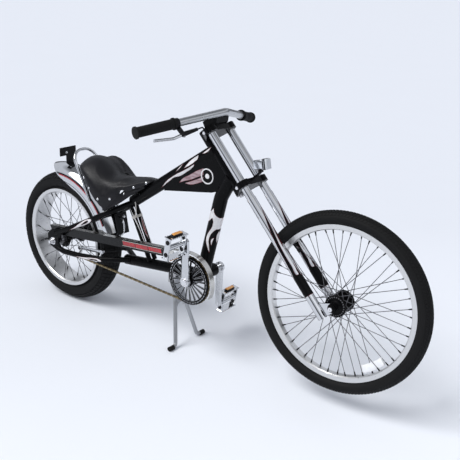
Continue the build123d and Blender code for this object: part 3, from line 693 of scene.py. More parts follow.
DOWN_TUBE_FLAMES = (
    ((246, 90), (250, 56), (254, 35), (262, 12), (279, -8, 1), (264, -30), (260, -60), (262, -90, 1),
     (216, -90, 1), (214, -60), (222, -32), (242, 2, 1), (230, 16), (209, 16), (186, -1), (164, -12),
     (148, -8), (132, 10), (106, 44, 1), (121, 38), (138, 26), (155, 16), (174, 19), (190, 33),
     (203, 54, 1), (204, 90, 1)),
    ((170, 55, 1), (162, 36), (147, 36), (136, 47, 1), (152, 48)),
    ((196, 90, 1), (186, 76), (168, 74), (146, 90, 1)),
)
TOP_TUBE_FLAMES = (
    ((182, 40, 1), (226, 12), (272, 6), (333, 14), (380, 16, 1), (369, 29), (322, 40), (293, 39),
     (266, 22), (236, 26)),
    ((282, -12, 1), (306, -32), (332, -48, 1), (310, -24)),
    ((328, -1, 1), (352, -20), (378, -34), (412, -35, 1), (406, -10), (385, 0), (360, 3)),
    ((432, -26, 1), (452, -32), (478, -35, 1), (470, -20), (446, -15)),
)
SEAT_STAY_LOOP = (
    ((138, 0), (124, -30), (96, -36), (70, -14), (40, 18), (4, 38, 1), (45, 52), (78, 62), (108, 56),
     (130, 32)),
    ((120, 2), (104, -10), (86, 10), (74, 26, 1), (94, 32), (112, 22)),
)
CHAINSTAY_LOOP = (
    ((122, 18), (112, -12), (80, -20), (44, -6), (-8, 8, 1), (30, 34), (66, 52), (98, 52), (116, 38)),
    ((104, 20), (84, 4), (52, 14, 1), (70, 30), (94, 34)),
)
FORK_FLAMES = (
    ((71, -120, 1), (71, 240, 1), (132, 240, 1), (150, 215), (215, 190, 1), (160, 172), (136, 150),
     (150, 132), (262, 118, 1), (190, 100), (140, 92), (150, 84), (188, 74, 1), (160, 58), (146, 46),
     (180, 34), (240, 36), (300, 58), (398, 92, 1), (330, 38), (262, 4), (190, -12), (146, -30),
     (138, -48), (160, -60), (240, -72, 1), (170, -86), (136, -100), (132, -120, 1)),
    ((246, 62, 1), (262, 78), (330, 96, 1), (276, 66)),
)
STRUT_LINE = (((222, 6, 1), (180, 44), (143, 66), (66, 84, 1), (64, 70, 1), (140, 52), (172, 30)),)
STRUT_FLAME = (((178, 78, 1), (150, 40), (110, 34), (84, 66, 1), (116, 70), (140, 82)),)
GUSSET_FLAMES = (
    ((727, 708, 1), (698, 694), (664, 672), (634, 654), (616, 634, 1), (640, 645), (670, 656), (700, 671),
     (727, 684, 1)),
    ((727, 678, 1), (700, 664), (672, 651), (643, 638, 1), (668, 638), (692, 645), (712, 654),
     (727, 660, 1)),
)
RIGHT = Vector((0, -1, 0))


def singly(outlines):
    """Outlines that are shapes of their own, with no holes."""
    return [[outline] for outline in outlines]


PALE = ("flame", "flame_edge")
# name, start and end on the tube's middle, its radius, shapes, their edge's width, finishes, whether mirrored
TUBE_FLAMES = (
    ("down_tube_flames", (724, 0, 306), (797, 0, 618), 0.025, singly(DOWN_TUBE_FLAMES), 0.0008, PALE, True),
    ("top_tube_flames", (372, 0, 508), (766.7, 0, 777.2), 0.023, singly(TOP_TUBE_FLAMES), 0.0006, PALE, True),
    ("seat_stay_loops", (100, -95.5, 353), (215, -78, 413), 0.011, [SEAT_STAY_LOOP], 0.0005, PALE, True),
    ("chainstay_loops", (150, -94, 249), (262, -76, 258), 0.011, [CHAINSTAY_LOOP], 0.0005, PALE, True),
    ("strut_lines", (470, -14, 290), (362, -14, 500), 0.009, [STRUT_LINE], 0.0, ("flame",), True),
    ("strut_flames", (470, 14, 290), (362, 14, 500), 0.009, [STRUT_FLAME], 0.0008, ("flame_edge", "flame"),
     False),
)
# outlines of the plain badge, as (radius, height above the gusset)
BADGE_RING = ((0.0236, 0), (0.0236, 0.0014), (0.0278, 0.0014), (0.0278, 0))
BADGE_DISC = ((0.0001, 0), (0.0001, 0.0018), (0.0085, 0.0012), (0.0092, 0))


class BICYCLE_OT_flames(bpy.types.Operator):
    """Lays flames and stripes on the tubes, the fork and the gusset"""
    bl_idname = "bicycle.flames"
    bl_label = "Flames"

    def execute(self, context):
        for name, start, end, radius, shapes, edge, finishes, mirror in TUBE_FLAMES:
            start, end = bike(*start), bike(*end)
            tube_flames(name, "frame", start, end, radius, RIGHT, shapes, edge, finishes, mirror)
        outwards = steer(0, -1, 0) - steer(0, 0, 0)
        for name, y in (("right", -54), ("left", 54)):
            tube_flames("fork_flames_" + name, "steering", steer(55, y, 0), steer(55, y, 400), 0.0155,
                        outwards, singly(FORK_FLAMES), 0.0006, ("black_transfer", "flame_edge"))
        self.gusset_side()
        return {"FINISHED"}

    def gusset_side(self):
        """Pale flame on both sides of the gusset, and a plain ring with a plain disc before it."""
        half = -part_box("gusset")[0][1]
        bm = bmesh.new()
        flat = bmesh.new()
        for outline in GUSSET_FLAMES:
            one = flat_shape([outline], (0.001, 0.001), 0.0008)
            join_in(flat, one)
            one.free()
        upright = Matrix.Rotation(math.pi / 2, 4, "X")
        flat.transform(Matrix.Translation((REAR_HUB.x, -half - DECAL_LIFT, 0)) @ upright)
        flat.normal_update()
        for face in flat.faces:
            if face.normal.y > 0:
                face.normal_flip()
        bmesh.ops.solidify(flat, geom=flat.faces[:], thickness=DECAL_THICKNESS)
        join_in(bm, flat)
        join_in(bm, flat, mirror=True)
        flat.free()
        new_piece("gusset_flames", bm, "frame", ["flame_shade", "flame_edge"], slot="frame_paint", sharp=20.0)
        bm = bmesh.new()
        centre = bike(745, 0, 683)
        for side in (-1, 1):
            place = side * (half + 0.0002)
            for outline, steps in ((BADGE_RING, 48), (BADGE_DISC, 32)):
                add_ring(bm, [(r, place + side * out) for r, out in outline], steps, centre)
        new_piece("plain_badges", bm, "frame", "flame", slot="frame_paint")


STRIPE_LIFT, STRIPE_THICKNESS = 0.0002, 0.0005


class BICYCLE_OT_guard(bpy.types.Operator):
    """Puts the red segments and light lines on the chain guard"""
    bl_idname = "bicycle.guard"
    bl_label = "Guard stripes"

    def execute(self, context):
        # the guard's upper edge rises by 66 mm over 647 mm
        slope = 66 / 647
        face_y = GUARD_FACE_Y - STRIPE_LIFT
        low, high = 391, 589
        count, gap, height, slant = 3, 3.0, 15.0, 5.0
        length = (high - low - gap * (count - 1)) / count
        segments = [(low + i * (length + gap), length, 5.0, height) for i in range(count)]
        lines = [(low - 4, high - low + 10, drop, 1.5) for drop in (2.2, 21.3)]
        for name, material, bars in (("guard_segments", "guard_red", segments),
                                     ("guard_lines", "line", lines)):
            bm = bmesh.new()
            for start, size, drop, tall in bars:
                corners = []
                for x, down, lean in ((start, drop, 0), (start + size, drop, 0),
                                      (start + size, drop + tall, slant), (start, drop + tall, slant)):
                    place = bike(x + lean, 0, 331 + (x + lean + 38) * slope - down)
                    corners.append(bm.verts.new((place.x, face_y, place.z)))
                bm.faces.new(corners)
            bmesh.ops.solidify(bm, geom=bm.faces[:], thickness=STRIPE_THICKNESS)
            new_piece(name, bm, "frame", material, slot="guard")
        return {"FINISHED"}


# Wheels

def spoke_ends(count, rim_radius, hub_radius, hub_y, lean, rim_y):
    """Both ends of each spoke, as the wheel is laced, in the wheel's own frame."""
    for i in range(count):
        at_rim = 2 * math.pi * i / count
        side = 1 if i % 2 else -1
        way = 1 if (i // 2) % 2 else -1
        at_hub = at_rim + way * math.radians(lean)
        rim = Vector((rim_radius * math.cos(at_rim), side * rim_y, rim_radius * math.sin(at_rim)))
        hub = Vector((hub_radius * math.cos(at_hub), side * hub_y, hub_radius * math.sin(at_hub)))
        yield rim, hub


# name, place, number of spokes, their radius at rim and hub, how far out they are at the hub, their lean in
# degrees, how far out they are at the rim, how far out the hub flange's face is, the flange's radius
WHEELS = (
    ("front", FRONT_WHEEL, 48, 0.243, 0.030, 0.0285, 75.0, 0.004, 0.034, 0.036),
    ("rear", REAR_WHEEL, 36, 0.193, 0.034, 0.0405, 70.0, 0.022, 0.046, 0.040),
)
# outlines on the hub, as (past the flange's radius, out from its face) and (radius, out from its face)
HUB_LIP = ((-0.003, 0), (-0.001, 0.0012), (0.0004, -0.0004), (0.0004, -0.0036))
HUB_CONE = ((0.0095, 0), (0.0095, 0.004), (0.014, 0.003), (0.019, 0))
NIPPLE_LENGTH, NIPPLE_RADIUS, NIPPLE_TIP = 0.013, 0.0027, 0.0019
SPOKE_HEAD_RADIUS, SPOKE_HEAD_HEIGHT = 0.0024, 0.0014
WASHER_THICKNESS, WASHER_LIP = 0.0015, 0.0028


class BICYCLE_OT_wheel_fittings(bpy.types.Operator):
    """Adds nipples, spoke heads, hub rims, axle nuts, the valves and the white wheel reflector"""
    bl_idname = "bicycle.wheel_fittings"
    bl_label = "Wheel fittings"

    def execute(self, context):
        for name, place, count, rim_r, hub_r, hub_y, lean, rim_y, face_y, flange_r in WHEELS:
            body = name + "_wheel"
            nipples = bmesh.new()
            heads = bmesh.new()
            for rim, hub in spoke_ends(count, rim_r, hub_r, hub_y, lean, rim_y):
                along = (hub - rim).normalized()
                add_rod(nipples, rim, rim + along * NIPPLE_LENGTH, NIPPLE_RADIUS, 8, NIPPLE_TIP)
                out = math.copysign(1, hub.y)
                base = (hub.x, out * face_y, hub.z)
                add_dome(heads, base, (0, out, 0), SPOKE_HEAD_RADIUS, SPOKE_HEAD_HEIGHT)
            new_piece(name + "_nipples", nipples, body, "black_plastic", place)
            new_piece(name + "_spoke_heads", heads, body, "spoke", place)
            bm = bmesh.new()
            for side in (-1, 1):
                add_ring(bm, [(flange_r + past, side * (face_y + out)) for past, out in HUB_LIP], 48)
                add_ring(bm, [(r, side * (face_y + out)) for r, out in HUB_CONE], 32)
            new_piece(name + "_hub_rims", bm, body, "black_paint", place)
        self.nuts()
        self.valves()
        self.reflector()
        return {"FINISHED"}

    def nuts(self):
        """Hexagon nuts with washers and domed ends on both axles."""
        for name, place, body, finish, inner, outer, tip, radius in (
                ("front", FRONT_WHEEL, "steering", "black_paint", 0.0565, 0.066, 0.072, 0.0130),
                ("rear", REAR_WHEEL, "frame", "bright_steel", 0.1022, 0.1105, 0.120, 0.0128)):
            bm = bmesh.new()
            for side in (-1, 1):
                add_hex(bm, (0, side * inner, 0), (0, side * outer, 0), radius)
                washer = (0, side * (inner - WASHER_THICKNESS), 0)
                add_rod(bm, washer, (0, side * inner, 0), radius + WASHER_LIP, 24)
                add_dome(bm, (0, side * outer, 0), (0, side, 0), radius * 0.72, tip - outer + 0.0002)
            new_piece(name + "_axle_nuts", bm, body, finish, place)

    def valves(self):
        """A valve stem with its cap on each rim."""
        for name, place, radius, turn in (("front", FRONT_WHEEL, 0.243, 98),
                                          ("rear", REAR_WHEEL, 0.193, 200)):
            bm = bmesh.new()
            out = Vector((math.cos(math.radians(turn)), 0, math.sin(math.radians(turn))))
            add_rod(bm, out * (radius + 0.004), out * (radius - 0.022), 0.0032, 12)
            add_rod(bm, out * (radius - 0.022), out * (radius - 0.034), 0.0042, 12)
            new_piece(name + "_valve", bm, name + "_wheel", "black_plastic", place)

    def reflector(self):
        """White reflector among the front spokes, curved with the rim."""
        bm = bmesh.new()
        length, width, height, below_axle = 0.082, 0.010, 0.026, 0.222
        add_box(bm, (length, width, height), (0, 0, -below_axle))
        long_edges = [edge for edge in bm.edges if abs(edge.calc_length() - length) < 0.001]
        bmesh.ops.subdivide_edges(bm, edges=long_edges, cuts=8, use_grid_fill=True)
        for vert in bm.verts:
            vert.co.z += 0.26 * vert.co.x ** 2 / 0.11
        bevel(bm, sharp_edges(bm, 40), 0.0012, 2)
        bm.transform(Matrix.Rotation(math.radians(4), 4, "Y"))
        new_piece("wheel_reflector", bm, "front_wheel", "white_lens", FRONT_WHEEL, slot="reflector")


# Chain and chainring

CHAIN_PITCH = 0.0127
CHAIN_Y = -0.075
PLATE_THICKNESS, PLATE_RADIUS, PLATE_WAIST = 0.001, 0.0041, 0.0026
PIN_LENGTH, PIN_RADIUS = 0.0072, 0.0019
ROLLER_LENGTH, ROLLER_RADIUS = 0.0026, 0.0034


def pitch_radius(teeth):
    """Radius of the circle that the chain's pins lie on round a wheel with so many teeth."""
    return CHAIN_PITCH / 2 / math.sin(math.pi / teeth)


def chain_points():
    """Pin places round the chainring and sprocket, in the plane of the chain."""
    ring, cog = pitch_radius(44), pitch_radius(18)
    span = CRANK - REAR_HUB
    reach = math.hypot(span.x, span.z)
    slope = math.atan2(span.z, span.x)
    tilt = math.asin((ring - cog) / reach)
    run = reach * math.cos(tilt)
    front_wrap, rear_wrap = math.pi + 2 * tilt, math.pi - 2 * tilt
    total = 2 * run + rear_wrap * cog + front_wrap * ring
    links = 2 * round(total / CHAIN_PITCH / 2)
    top = slope + math.pi / 2 + tilt
    low = top - front_wrap
    places = []
    for i in range(links):
        s = i * total / links
        if s < run:
            start, radius, angle, way = REAR_HUB, cog, top, slope + tilt
        elif s < run + front_wrap * ring:
            start, radius, angle, way = CRANK, ring, top - (s - run) / ring, None
        elif s < 2 * run + front_wrap * ring:
            start, radius, angle, way = CRANK, ring, low, slope - tilt + math.pi
        else:
            start, radius, angle, way = REAR_HUB, cog, low - (s - 2 * run - front_wrap * ring) / cog, None
        x = start.x + radius * math.cos(angle)
        z = start.z + radius * math.sin(angle)
        if way is not None:
            along = s if s < run else s - run - front_wrap * ring
            x += along * math.cos(way)
            z += along * math.sin(way)
        places.append(Vector((x, CHAIN_Y, z)))
    return places


def add_link_plate(bm, first, second, y):
    """Adds one side plate: round at both pins and drawn in between them."""
    along = (second - first).normalized()
    up = Vector((-along.z, 0, along.x))
    half = (second - first).length / 2
    middle = (first + second) / 2
    outline = []
    for end in (1, -1):
        for turn in (-72, -24, 24, 72):
            angle = math.radians(turn)
            reach = half + PLATE_RADIUS * math.cos(angle)
            outline.append((end * reach, end * PLATE_RADIUS * math.sin(angle)))
        outline.append((0, end * PLATE_WAIST))
    verts = []
    for ahead, out in outline:
        place = middle + along * ahead + up * out
        verts.append(bm.verts.new((place.x, y, place.z)))
    face = bm.faces.new(verts)
    new = bmesh.ops.extrude_face_region(bm, geom=[face])["geom"]
    moved = [item for item in new if isinstance(item, bmesh.types.BMVert)]
    bmesh.ops.translate(bm, vec=(0, PLATE_THICKNESS, 0), verts=moved)


class BICYCLE_OT_chain(bpy.types.Operator):
    """Makes the chain link by link, and the bright lines of the chainring"""
    bl_idname = "bicycle.chain"
    bl_label = "Chain"

    def execute(self, context):
        places = chain_points()
        bm = bmesh.new()
        rollers = bmesh.new()
        for i, here in enumerate(places):
            ahead = places[(i + 1) % len(places)]
            out = 0.0030 if i % 2 else 0.0018
            for side in (-1, 1):
                y = CHAIN_Y + side * out - 0.0005
                add_link_plate(rollers if i % 2 else bm, here, ahead, y)
            for mesh, length, radius in ((bm, PIN_LENGTH, PIN_RADIUS), (rollers, ROLLER_LENGTH, ROLLER_RADIUS)):
                start = Vector((here.x, CHAIN_Y - length / 2, here.z))
                add_rod(mesh, start, start + Vector((0, length, 0)), radius, 8)
        new_piece("chain_links", bm, "frame", "gold_chain", hides=("chain",))
        new_piece("chain_rollers", rollers, "frame", "oiled_steel", slot="gold_chain")
        self.ring_lines()
        return {"FINISHED"}

    def ring_lines(self):
        """Thin bright frames round the slots, and a dashed line outside them."""
        face_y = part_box("chainring")[0][1] - 0.0001
        slots, inner, outer = 20, 0.024, 0.076
        narrow = 2 * math.pi * inner / slots * 0.52
        wide = 2 * math.pi * outer / slots * 0.72
        middle = Matrix.Translation((CRANK.x, face_y, CRANK.z))
        bm = bmesh.new()
        for i in range(slots):
            turn = middle @ Matrix.Rotation(2 * math.pi * i / slots, 4, "Y")
            frame_in = [(inner, -narrow / 2), (outer, -wide / 2), (outer, wide / 2), (inner, narrow / 2)]
            frame_out = [(inner - 0.0008, -narrow / 2 - 0.0007), (outer + 0.0009, -wide / 2 - 0.0008),
                         (outer + 0.0009, wide / 2 + 0.0008), (inner - 0.0008, narrow / 2 + 0.0007)]
            rings = []
            for outline in (frame_in, frame_out):
                rings.append([bm.verts.new(turn @ Vector((x, 0, z))) for x, z in outline])
            for j in range(4):
                k = (j + 1) % 4
                bm.faces.new((rings[0][j], rings[1][j], rings[1][k], rings[0][k]))
        bmesh.ops.solidify(bm, geom=bm.faces[:], thickness=0.0004)
        dashes, dash_radius, dash = 2 * slots, 0.0845, (0.0016, 0.0006, 0.009)
        for i in range(dashes):
            turn = middle @ Matrix.Rotation(2 * math.pi * i / dashes, 4, "Y")
            bmesh.ops.create_cube(bm, size=1.0, matrix=turn @ Matrix.Translation((dash_radius, 0, 0))
                                  @ Matrix.Diagonal((*dash, 1)))
        new_piece("chainring_lines", bm, "crankset", "polished")


# Seat

# (millimetres ahead, height) along the skirt's lower edge, and where its rivets are
SKIRT_LINE = ((296, 474), (312, 478), (365, 512), (423, 562), (470, 590))
RIVETS = ((203, 587), (236, 553), (281, 518), (331, 526), (373, 549), (415, 580), (464, 604))
RIVET_RADIUS, RIVET_HEIGHT = 0.0056, 0.0032
FLAP_ROWS, FLAP_THICKNESS = 5, 0.002


def skirt_height(x):
    """Height of the skirt's lower edge, in millimetres."""
    for (x0, z0), (x1, z1) in zip(SKIRT_LINE, SKIRT_LINE[1:]):
        if x0 <= x < x1:
            return z0 + (z1 - z0) * (x - x0) / (x1 - x0)
    raise ValueError(f"no skirt at {x}")


def side_of_seat(tree, x, z, side, reach, step):
    """Where the cover is met from outside, and its normal there, at a height or a little above it."""
    for lift in range(0, reach, step):
        hit, normal = tree.ray_cast(bike(x, side * 200, z + lift), Vector((0, -side, 0)), 0.25)[:2]
        if hit is not None:
            return hit, normal
    raise RuntimeError(f"no seat beside {x}, {z}")


class BICYCLE_OT_seat(bpy.types.Operator):
    """Swells the seat's cover over its padding and rivets its skirt"""
    bl_idname = "bicycle.seat"
    bl_label = "Seat"

    voxel: bpy.props.FloatProperty(name="Voxel", description="Mesh size of the cover before it swells",
                                   default=0.005, unit="LENGTH")
    most: bpy.props.FloatProperty(name="Swell", description="Most that a point of the cover may move",
                                  default=0.005, unit="LENGTH")

    def execute(self, context):
        scene = context.scene
        mesh = NODES["seat"].data.copy()
        bm = bmesh.new()
        bm.from_mesh(mesh)
        bmesh.ops.remove_doubles(bm, verts=bm.verts, dist=1e-5)
        bmesh.ops.recalc_face_normals(bm, faces=bm.faces)
        bm.to_mesh(mesh)
        bm.free()
        cover = bpy.data.objects.new("seat_cover", mesh)
        scene.collection.objects.link(cover)
        remesh = cover.modifiers.new("cells", "REMESH")
        remesh.mode = "VOXEL"
        remesh.voxel_size = self.voxel
        self.settle(cover)
        bm = bmesh.new()
        bm.from_mesh(cover.data)
        for vert in bm.verts:
            vert.co -= vert.normal * 0.002
        for _ in range(3):
            bmesh.ops.smooth_vert(bm, verts=bm.verts, factor=0.5,
                                  use_axis_x=True, use_axis_y=True, use_axis_z=True)
        bm.to_mesh(cover.data)
        bm.free()
        self.swell(scene, cover)
        subdivide = cover.modifiers.new("finer", "SUBSURF")
        subdivide.levels = subdivide.render_levels = 1
        self.settle(cover)
        cover.data.materials.clear()
        cover.data.materials.append(MATERIALS["seat_cover"])
        cover.data.shade_smooth()
        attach(cover, "frame")
        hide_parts("seat")
        flaps = self.flaps(cover)
        self.rivets(cover, flaps)
        new_piece("seat_flaps", flaps, "frame", "seat_cover")
        return {"FINISHED"}

    def flaps(self, cover):
        """Skirt of the seat where the stays pass behind it: a thin curved sheet on each side."""
        tree = BVHTree.FromObject(cover, bpy.context.evaluated_depsgraph_get())
        bm = bmesh.new()
        for side in (-1, 1):
            columns = []
            for x in range(300, 462, 9):
                low = skirt_height(x)
                hit = side_of_seat(tree, x, low, side, 90, 3)[0]
                columns.append((hit, bike(x, 0, low).z))
            hits = [side * hit.y for hit, low in columns]
            first, last = hits[0], hits[-1]
            grid = []
            for number, (hit, low) in enumerate(columns):
                outside = first + (last - first) * number / (len(columns) - 1) + 0.0012
                column = []
                for row in range(FLAP_ROWS):
                    part = row / (FLAP_ROWS - 1)
                    y = outside + (side * hit.y - 0.001 - outside) * part ** 2
                    column.append(bm.verts.new((hit.x, side * y, low + (hit.z + 0.007 - low) * part)))
                grid.append(column)
            for one, two in zip(grid, grid[1:]):
                for row in range(FLAP_ROWS - 1):
                    bm.faces.new((one[row], two[row], two[row + 1], one[row + 1]))
        bmesh.ops.recalc_face_normals(bm, faces=bm.faces)
        bmesh.ops.solidify(bm, geom=bm.faces[:], thickness=FLAP_THICKNESS)
        return bm

    def settle(self, obj):
        """Applies an object's modifiers to its mesh."""
        depsgraph = bpy.context.evaluated_depsgraph_get()
        mesh = bpy.data.meshes.new_from_object(obj.evaluated_get(depsgraph))
        obj.modifiers.clear()
        obj.data = mesh

    def swell(self, scene, cover):
        """Blows the cover up a little with cloth, and limits how far each point moves."""
        before = [vert.co.copy() for vert in cover.data.vertices]
        cloth = cover.modifiers.new("cloth", "CLOTH")
        settings = cloth.settings
        settings.use_pressure = True
        settings.uniform_pressure_force = 4.0
        settings.tension_stiffness = 30
        settings.compression_stiffness = 30
        settings.bending_stiffness = 4
        settings.effector_weights.gravity = 0
        for number in range(1, 21):
            scene.frame_set(number)
        self.settle(cover)
        for vert, old in zip(cover.data.vertices, before):
            move = vert.co - old
            if move.length > self.most:
                vert.co = old + move.normalized() * self.most
        scene.frame_set(1)

    def rivets(self, cover, flaps):
        """Domed rivets along both skirts, each on the surface of the cover or its flap."""
        flap_tree = BVHTree.FromBMesh(flaps)
        tree = BVHTree.FromObject(cover, bpy.context.evaluated_depsgraph_get())
        bm = bmesh.new()
        for x, z in RIVETS:
            for side in (-1, 1):
                start, inwards = bike(x, side * 200, z), Vector((0, -side, 0))
                hit, normal = flap_tree.ray_cast(start, inwards, 0.25)[:2]
                if hit is None or hit.y * side <= 0:
                    hit, normal = side_of_seat(tree, x, z, side, 48, 4)
                add_dome(bm, hit - normal * 0.0006, normal, RIVET_RADIUS, RIVET_HEIGHT)
        new_piece("seat_rivets", bm, "frame", "chrome")


# Small fittings

def add_wire(bm, points, radius):
    """Adds a round wire or thin cable along a smooth line through a few points."""
    curve = bpy.data.curves.new("wire", "CURVE")
    curve.dimensions = "3D"
    curve.bevel_depth = radius
    curve.bevel_resolution = 2
    curve.resolution_u = 6
    curve.use_fill_caps = True
    spline = curve.splines.new("NURBS")
    spline.points.add(len(points) - 1)
    for point, place in zip(spline.points, points):
        point.co = (*place, 1)
    spline.order_u = 3
    spline.use_endpoint_u = True
    add_curve(bm, curve)


def pedal_frame(side):
    """Matrix of a pedal: its middle on the spindle, leaning as it hangs."""
    lean = Matrix.Rotation(math.radians(10), 4, "Y")
    return Matrix.Translation(CRANK + Vector((0, side * 0.155, -side * 0.152))) @ lean


HOUSING_SIZE = (0.0150, 0.046, 0.0070)
AMBER_SIZE = (0.0118, 0.042, 0.0066)
TEETH, TOOTH_PITCH, TOOTH_RADIUS, TOOTH_TIP = 9, 0.0097, 0.0024, 0.0012


class BICYCLE_OT_pedal_fittings(bpy.types.Operator):
    """Makes the amber reflectors in their black housings, and black discs of painted shade in the openings at the
    pedals' ends
    """
    bl_idname = "bicycle.pedal_fittings"
    bl_label = "Pedal fittings"

    def execute(self, context):
        height, plate = 0.080, 0.00175
        for name, side in (("right", -1), ("left", 1)):
            place = pedal_frame(side)
            body = "pedal_" + name
            housing, lens, painted_shade_discs, teeth = bmesh.new(), bmesh.new(), bmesh.new(), bmesh.new()
            for way in (-1, 1):
                foot = way * (height / 2 + plate)
                add_box(housing, HOUSING_SIZE, (0, 0, foot + way * HOUSING_SIZE[2] / 2))
                add_box(lens, AMBER_SIZE, (0, 0, foot + way * HOUSING_SIZE[2]))
                # painted shade: round black discs fill the openings at each end of the pedal, where there is only
                # shade
                for end in (-1, 1):
                    inner, outer = end * 0.042 - end * 0.004, end * 0.042 + end * 0.0012
                    centre = way * height * 0.29
                    add_rod(painted_shade_discs, (0, inner, centre), (0, outer, centre), 0.0082, 20)
                for row in range(TEETH):
                    y = (row - TEETH // 2) * TOOTH_PITCH
                    for edge in (-1, 1):
                        tip = (edge * 0.0146, y, foot - way * 0.0012)
                        root = (edge * 0.0112, y, tip[2])
                        add_rod(teeth, root, tip, TOOTH_RADIUS, 8, TOOTH_TIP)
            bevel(housing, sharp_edges(housing), 0.0012, 2)
            bevel(lens, sharp_edges(lens), 0.0010, 2)
            new_piece("reflector_housings_" + name, housing, body, "black_plastic", place)
            new_piece("reflector_lenses_" + name, lens, body, "reflector", place, ("reflectors_" + name,))
            new_piece("pedal_painted_shade_discs_" + name, painted_shade_discs, body, "black_plastic", place)
            new_piece("pedal_teeth_" + name, teeth, body, "chrome", place)
        return {"FINISHED"}


# in the steering frame; the tilt is in degrees, nose down
LAMP_PLACE = (0.1165, 0.018, 0.5195)
LAMP_TILT = 29.5


class BICYCLE_OT_headlamp(bpy.types.Operator):
    """Makes the headlamp: a rounded bright body, a double black band and a clear lens"""
    bl_idname = "bicycle.headlamp"
    bl_label = "Headlamp"

    def execute(self, context):
        tilt = Matrix.Rotation(math.radians(LAMP_TILT), 4, "Y")
        place = STEER @ Matrix.Translation(LAMP_PLACE) @ tilt
        body = bmesh.new()
        for vert in add_box(body, (0.038, 0.030, 0.035), (-0.012, 0, 0)):
            if vert.co.x < -0.02:
                vert.co.y *= 0.86
                vert.co.z *= 0.86
        bevel(body, sharp_edges(body), 0.004, 3)
        new_piece("lamp_body", body, "steering", "lamp", place, ("headlamp",), sharp=30.0)
        bands = bmesh.new()
        for middle in (0.0090, 0.0150):
            add_box(bands, (0.0046, 0.0318, 0.0368), (middle, 0, 0))
        bevel(bands, sharp_edges(bands), 0.0011, 2)
        new_piece("lamp_bands", bands, "steering", "black_plastic", place)
        bezel = bmesh.new()
        add_box(bezel, (0.0080, 0.0296, 0.0346), (0.0100, 0, 0))
        new_piece("lamp_bezel", bezel, "steering", "mirror", place, slot="lamp")
        lens = bmesh.new()
        add_box(lens, (0.008, 0.0305, 0.0355), (0.0203, 0, 0))
        bevel(lens, sharp_edges(lens), 0.0028, 3)
        new_piece("lamp_lens", lens, "steering", "clear", place, slot="lamp", sharp=30.0)
        foot = bmesh.new()
        add_box(foot, (0.012, 0.014, 0.010), (-0.010, 0, -0.0215))
        add_hex(foot, (-0.010, -0.010, -0.0215), (-0.010, 0.010, -0.0215), 0.0042)
        new_piece("lamp_foot", foot, "steering", "black_plastic", place)
        return {"FINISHED"}


GRIP_RIBS, RIB_PITCH, RIB_WIDTH, RIB_RADIUS = 15, 0.0082, 0.0042, 0.0171


class BICYCLE_OT_controls(bpy.types.Operator):
    """Adds ribs to the grips, bolts to the clamps and riser, and the lever's pivot"""
    bl_idname = "bicycle.controls"
    bl_label = "Grips and bolts"

    def execute(self, context):
        ribs = bmesh.new()
        start, middle = Vector((-0.007, -0.327, 0.764)), Vector((0.110, 0, 0.735))
        along = (middle - start).normalized()
        for step in range(GRIP_RIBS):
            place = start + along * (0.011 + step * RIB_PITCH)
            for side in (1, -1):
                ends = [(point.x, side * point.y, point.z) for point in (place, place + along * RIB_WIDTH)]
                add_rod(ribs, *ends, RIB_RADIUS, 24)
        new_piece("grip_ribs", ribs, "steering", "grip_rubber", STEER)
        bolts = bmesh.new()
        for height in (0.489, 0.704):
            for side in (-1, 1):
                add_hex(bolts, (0.040, side * 0.0655, height), (0.040, side * 0.0745, height), 0.0062)
        for y in (-0.022, 0.022):
            add_hex(bolts, (0.062, y, 0.7475), (0.062, y, 0.7530), 0.0055)
        pivot = Vector((0.0294, -0.1643, 0.7165))
        add_rod(bolts, pivot - Vector((0, 0, 0.0100)), pivot + Vector((0, 0, 0.0105)), 0.0038, 16)
        add_dome(bolts, pivot + Vector((-0.0075, 0, 0)), (-1, 0, 0.1), 0.0045, 0.0022)
        new_piece("steering_bolts", bolts, "steering", "bright_steel", STEER)
        return {"FINISHED"}


# wires, in millimetres ahead of the rear axle, to the left and above the floor
STRAP = ((397, -19, 517), (403, -21, 490), (402, -21, 462), (392, -22, 451))
LOOP = ((306, -22, 436), (332, -24, 434), (342, -25, 412), (341, -25, 380), (326, -25, 358), (304, -24, 362))
BRAKE_CABLE = ((290, -58, 290), (350, -44, 312), (410, -28, 332), (447, -20, 338))


